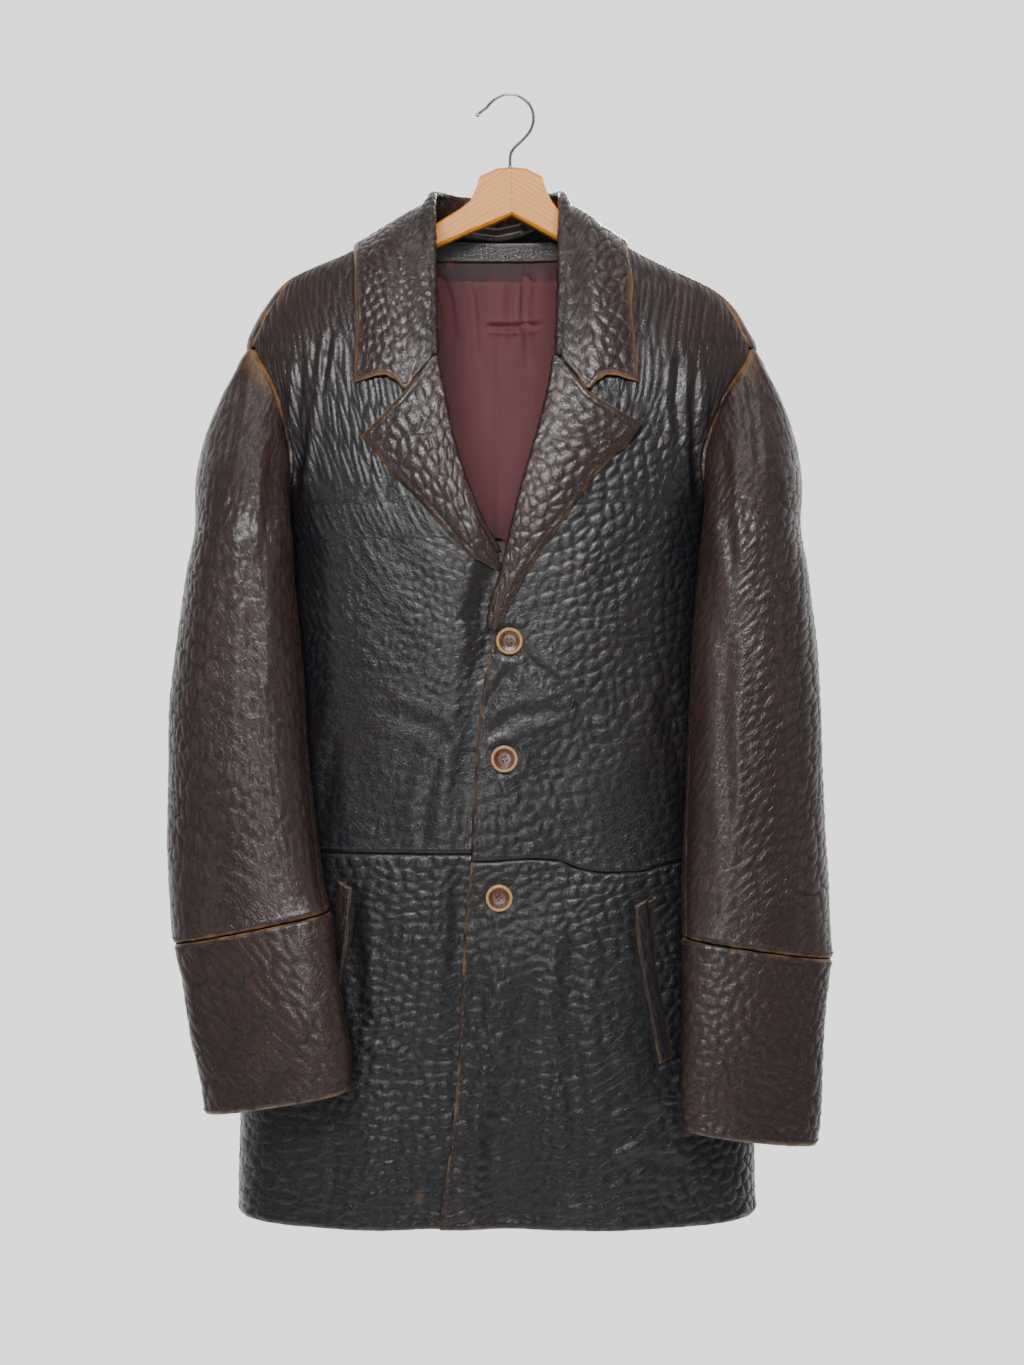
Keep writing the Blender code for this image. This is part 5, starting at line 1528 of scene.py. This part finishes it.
def build_collar():
    g = np.concatenate([collar_half("left"), collar_half("right")[-2::-1]])
    s = survey(refine(g, STEP * 0.95), collar_hint(g))
    u, v = s.last, s.low
    right = smooth(s.x / 20 + 0.5)
    h = grain(s, u, v, [(1.0 - right, 8.5, 10.5, 0.3, 1.15), (right, 9.5, 17, 0.5, 1.1)], 601)
    leaf = smooth((s.first / s.total - 0.38) / 0.1)
    edge = nearest(s, "last", "low", "high")
    h = h * smooth((edge - 1.0) / 8) * (0.7 + 0.3 * leaf)
    h = h + dip(edge, 0.7, 1.1) + leaf * (ridge(edge, 3.0, 0.4, 1.8) + dip(edge - 6.5, 0.4, 1.0))
    wear = rubbed(leaf * (1.4 * fade(edge, 1.6)), u, v, 605) + 0.22 * leaf * fade(edge, 16)
    tint = 0.7 + 0.2 * waves(u, v, 40, 40, 607) - 0.15 * (1 - leaf)
    cloth("collar", s, np.clip(h, -0.9, 1.9), ROLL_WALL, (TRIM, TRIM), u, v, wear, tint, (0.58, 0.12),
          "folded", ["front_upper_left", "back_upper"], 0.058)
    sew("trim", s, "last", 6.5, pitch=3.2)
    for border in ("low", "high"):
        sew("trim", s, border, 6.0, pitch=3.2, thick=0.36)
    return g


def build_welt(side):
    # Slanted strip of the pocket
    s = survey(refine(welt_grid(side, 12, 5), STEP * 0.8), (0, -1, 0))
    u, v = s.first, s.z
    edge = nearest(s, "first", "last", "low", "high")
    h = 0.5 * cells(u, v, 6, 17, 0.1, 701) * smooth(edge / 4) + dip(edge, 0.8, 1.1)
    h = h + ridge(edge, 2.4, 0.3, 1.0)
    wear = rubbed(fade(edge, 1.2), u, v, 705)
    tint = 0.2 + 0.3 * fade(edge, 3)
    cloth("pocket_welt_" + side, s, h, WALL, (BODY, BODY), u, v, wear, tint, (0.016, 0.16), "laid",
          ["front_skirt_" + side])
    sew("body", s, "first", 3.0, pitch=3.2, thick=0.34)


def build_inside(collar):
    # Neck facing, lining of the back and label, as far as they show
    grid = strip_grid(FACING_ROWS, FACING_REACH, WALL + FACING_LIFT, INSIDE_COLUMNS)
    s = survey(refine(grid, STEP), (0, -1, 0))
    u, v = s.first, s.z
    h = 0.15 * cells(u, v, 9, 12, 0.2, 801) + dip(s.low, 0.5, 1.2)
    cloth("neck_facing", s, h, THIN_WALL, (BODY, BODY), u, v, 0 * u, 0 * u + 0.35, (0.12, 0.021), "laid",
          ["back_upper"])
    grid = strip_grid(LINING_ROWS, LINING_REACH, WALL + LINING_LIFT, INSIDE_COLUMNS)
    s = survey(refine(grid, STEP * 1.15), (0, -1, 0))
    u, v = s.x, s.z
    centre = np.abs(u + 2)
    lines = [([(-62, -160), (-50, -190), (-46, -230)], 5, 0.8),
             ([(30, -160), (26, -200), (34, -260)], 5, 0.7),
             ([(-14, -213), (10, -214), (46, -212)], 2.4, 0.8),
             ([(-30, -165), (-24, -200), (-20, -260)], 4, 0.6),
             ([(14, -168), (12, -200), (16, -240)], 4, 0.5)]
    folds = waves(u, v, 24, 150, 807)
    h = 1.5 * creases(s, lines) + 1.1 * folds + dip(centre, 0.8, 1.2) * smooth((-v - 210) / 6)
    h = h + dip(v + 171, 0.35, 1.0)
    # Painted shade along the centre pleat and in the hollows of the folds; a dark band at the top down to
    # the seam, and darker towards the bottom
    tint = 0.85 * smooth((v + 172) / 4) + 0.5 * fade(centre, 1.6) * smooth((-v - 210) / 6)
    tint = tint + 0.35 * smooth((-v - 330) / 90) - 0.15 * waves(u, v, 30, 90, 811) - 0.3 * folds
    cloth("lining_back", s, h, THIN_WALL, (SATIN, SATIN), u, v, 0 * u, tint, (0.22, 0.31), "laid",
          ["back_upper"])
    build_label(collar)


def build_label(collar):
    ends = label_grid(collar, 25)
    grid = ends[:, :1] + (ends[:, 1:] - ends[:, :1]) * np.linspace(0, 1, 7)[None, :, None]
    s = survey(refine(grid, 0.9), (0, -1, 0))
    u, v = s.low, s.first
    border = np.exp(-((nearest(s, "first", "last") - 1.4) / 0.35) ** 2)
    h = 0.12 * border + dip(nearest(s, "first", "last", "low", "high"), 0.2, 0.6)
    mat = woven("woven_label")
    cloth("label", s, h, LABEL_WALL, (mat, mat), u, v, border, 0 * u, (0.05, 0.0105), "laid", ["collar"])


def build_threads():
    # One object for each group of stitches, each a closed bead of four sides
    for group, runs in threads.items():
        rings = np.concatenate(runs)
        count = len(rings)
        verts = rings.reshape(-1, 3)
        base = np.arange(count)[:, None, None] * 16
        quads = []
        for ring in range(3):
            for k in range(4):
                m = (k + 1) % 4
                quads.append([ring * 4 + k, ring * 4 + m, ring * 4 + 4 + m, ring * 4 + 4 + k])
        quads += [[3, 2, 1, 0], [12, 13, 14, 15]]
        faces = (base + np.array(quads)[None]).reshape(-1, 4)
        obj = mesh_object("stitches_" + group, verts, [faces], [THREAD])
        put(obj)


def build_hard_parts():
    # Pine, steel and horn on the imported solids, and the small turned parts on them
    dress(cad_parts["hanger_wood"], pine("pine"))
    steel = wire("bright_wire")
    dress(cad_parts["hanger_hook"], steel)
    ball = [(0.2, -2.3), (1.3, -2.0), (2.1, -1.0), (2.35, 0), (2.1, 1.0), (1.3, 2.0), (0.2, 2.3)]
    turned("hook_ball", ball, (HOOK_END[0] - 0.6, 0.0, HOOK_END[1] - 0.8), "Z", steel)
    turned("hook_collar", [(2.2, -0.2), (3.4, 0.2), (3.4, 1.1), (2.0, 1.6)],
           (HOOK_COLLAR[0], 0.0, HOOK_COLLAR[1]), "Z", steel)
    # Dark cups on each button's face stand for its four holes: painted shade
    painted_shade = painted_hole_shade("button_hole_shade")
    lift = 0.5 * np.sin(np.linspace(0, math.pi, 7))
    across = np.linspace(-2.0, 2.0, 7)
    for k in range(len(BUTTONS)):
        name = "button_" + str(k + 1)
        centre, slope = button_place(k)
        dress(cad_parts[name], horn(name + "_horn", centre))
        for a in range(4):
            turn = math.pi / 4 + a * math.pi / 2 + 0.3 * k
            hx, hz = 2.3 * math.cos(turn), 2.3 * math.sin(turn)
            turned(name + "_hole_" + str(a + 1), [(0.95, 0.02), (0.8, -0.12), (0.2, -0.1)],
                   (centre[0] + hx, centre[1] - 2.86 + slope * hx, centre[2] + hz), "Y", painted_shade)
        for side in (-1, 1):
            pts = np.stack([centre[0] + across * math.cos(0.8 + 0.3 * k) * side, centre[1] - 2.9 - lift,
                            centre[2] + across * math.sin(0.8 + 0.3 * k)], axis=-1)
            thread_run("trim", pts, np.tile([[0, -1.0, 0]], (7, 1)), pitch=3.9, long=3.7, thick=0.35)


def dress(obj, mat):
    obj.data.materials.clear()
    obj.data.materials.append(mat)


def turned(name, outline, centre, axis, mat):
    # Small turned piece about Y or Z
    turns = 16
    verts = []
    for r, d in outline:
        for k in range(turns):
            a = 2 * math.pi * k / turns
            c, s = r * math.cos(a), r * math.sin(a)
            verts.append([centre[0] + c, centre[1] + d, centre[2] + s] if axis == "Y"
                         else [centre[0] + c, centre[1] + s, centre[2] + d])
    quads = []
    for j in range(len(outline) - 1):
        for k in range(turns):
            m = (k + 1) % turns
            quads.append([j * turns + k, (j + 1) * turns + k, (j + 1) * turns + m, j * turns + m])
    last = (len(outline) - 1) * turns
    caps = np.array([list(range(turns)), list(range(last, last + turns))[::-1]])
    quads = np.array(quads)
    if axis == "Z":
        quads = quads[:, ::-1]
        caps = caps[:, ::-1]
    return put(mesh_object(name, verts, [quads, caps], [mat]))


def build_stage():
    # Pale world that is brightest behind the coat, floor, soft lights and the photo's camera
    world = bpy.data.worlds.new("studio")
    bpy.context.scene.world = world
    world.use_nodes = True
    tree = world.node_tree
    toward = node(tree, "ShaderNodeTexCoord").outputs["Generated"]
    depth = node(tree, "ShaderNodeSeparateXYZ", {0: toward}).outputs[1]
    links = {"Value": depth, "From Min": -0.2, "From Max": 0.7, "To Min": 0.2, "To Max": 1.9}
    glow = node(tree, "ShaderNodeMapRange", links).outputs["Result"]
    feed(tree, tree.nodes["Background"], {"Color": (0.96, 0.96, 0.955, 1), "Strength": glow})
    verts = [[x, y, FLOOR_Z] for x, y in ((-1600, -2600), (1600, -2600), (1600, 900), (-1600, 900))]
    mat = Finish("pale_floor").done((0.86, 0.86, 0.855, 1), 0.9)
    mesh_object("floor", verts, [np.array([[0, 1, 2, 3]])], [mat], smooth_faces=False)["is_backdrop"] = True
    for name, place_at, aim, size, power in (
            ("key_softbox", (-0.1, -1.8, 0.42), (0, 0, -0.45), (1.1, 0.42), 54),
            ("top_softbox", (0.1, -0.7, 1.25), (0, 0, -0.4), (1.4, 0.5), 10),
            ("low_softbox", (-0.1, -1.9, -0.72), (0, 0, -0.9), (0.5, 0.2), 7),
            ("left_strip", (-1.7, -1.3, -0.3), (0, 0, -0.6), (0.3, 1.5), 5),
            ("right_strip", (1.8, -1.1, -0.3), (0, 0, -0.6), (0.3, 1.5), 4),
            ("rear_softbox", (0.1, 1.9, 0.5), (0, 0, -0.45), (1.1, 0.42), 75)):
        data = bpy.data.lights.new(name, "AREA")
        data.shape = "RECTANGLE"
        data.size, data.size_y = size
        data.energy = power
        lamp = bpy.data.objects.new(name, data)
        bpy.context.scene.collection.objects.link(lamp)
        lamp.location = place_at
        d = np.array(aim, float) - np.array(place_at)
        lamp.rotation_euler = (math.atan2(math.hypot(d[0], d[1]), -d[2]), 0, math.atan2(-d[0], d[1]))
    data = bpy.data.cameras.new("photo_camera")
    data.lens = 48.05
    data.clip_start = 0.05
    camera = bpy.data.objects.new("photo_camera", data)
    camera.location = (0.0019, -1.74, -0.5603)
    camera.rotation_euler = (math.pi / 2, 0, 0)
    bpy.context.scene.collection.objects.link(camera)
    bpy.context.scene.camera = camera


for name in ("left", "right"):
    build_front(name)
    build_sleeve(name)
    build_lapel(name)
    build_welt(name)
build_back()
build_inside(build_collar())
build_hard_parts()
build_threads()
build_stage()


def plain(value):
    if isinstance(value, dict):
        return {k: plain(v) for k, v in value.items()}
    if isinstance(value, (list, tuple)) or hasattr(value, "__len__") and not isinstance(value, str):
        return [plain(v) for v in value]
    return value


{"start": plain(start_bounds), "end": plain(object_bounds())}
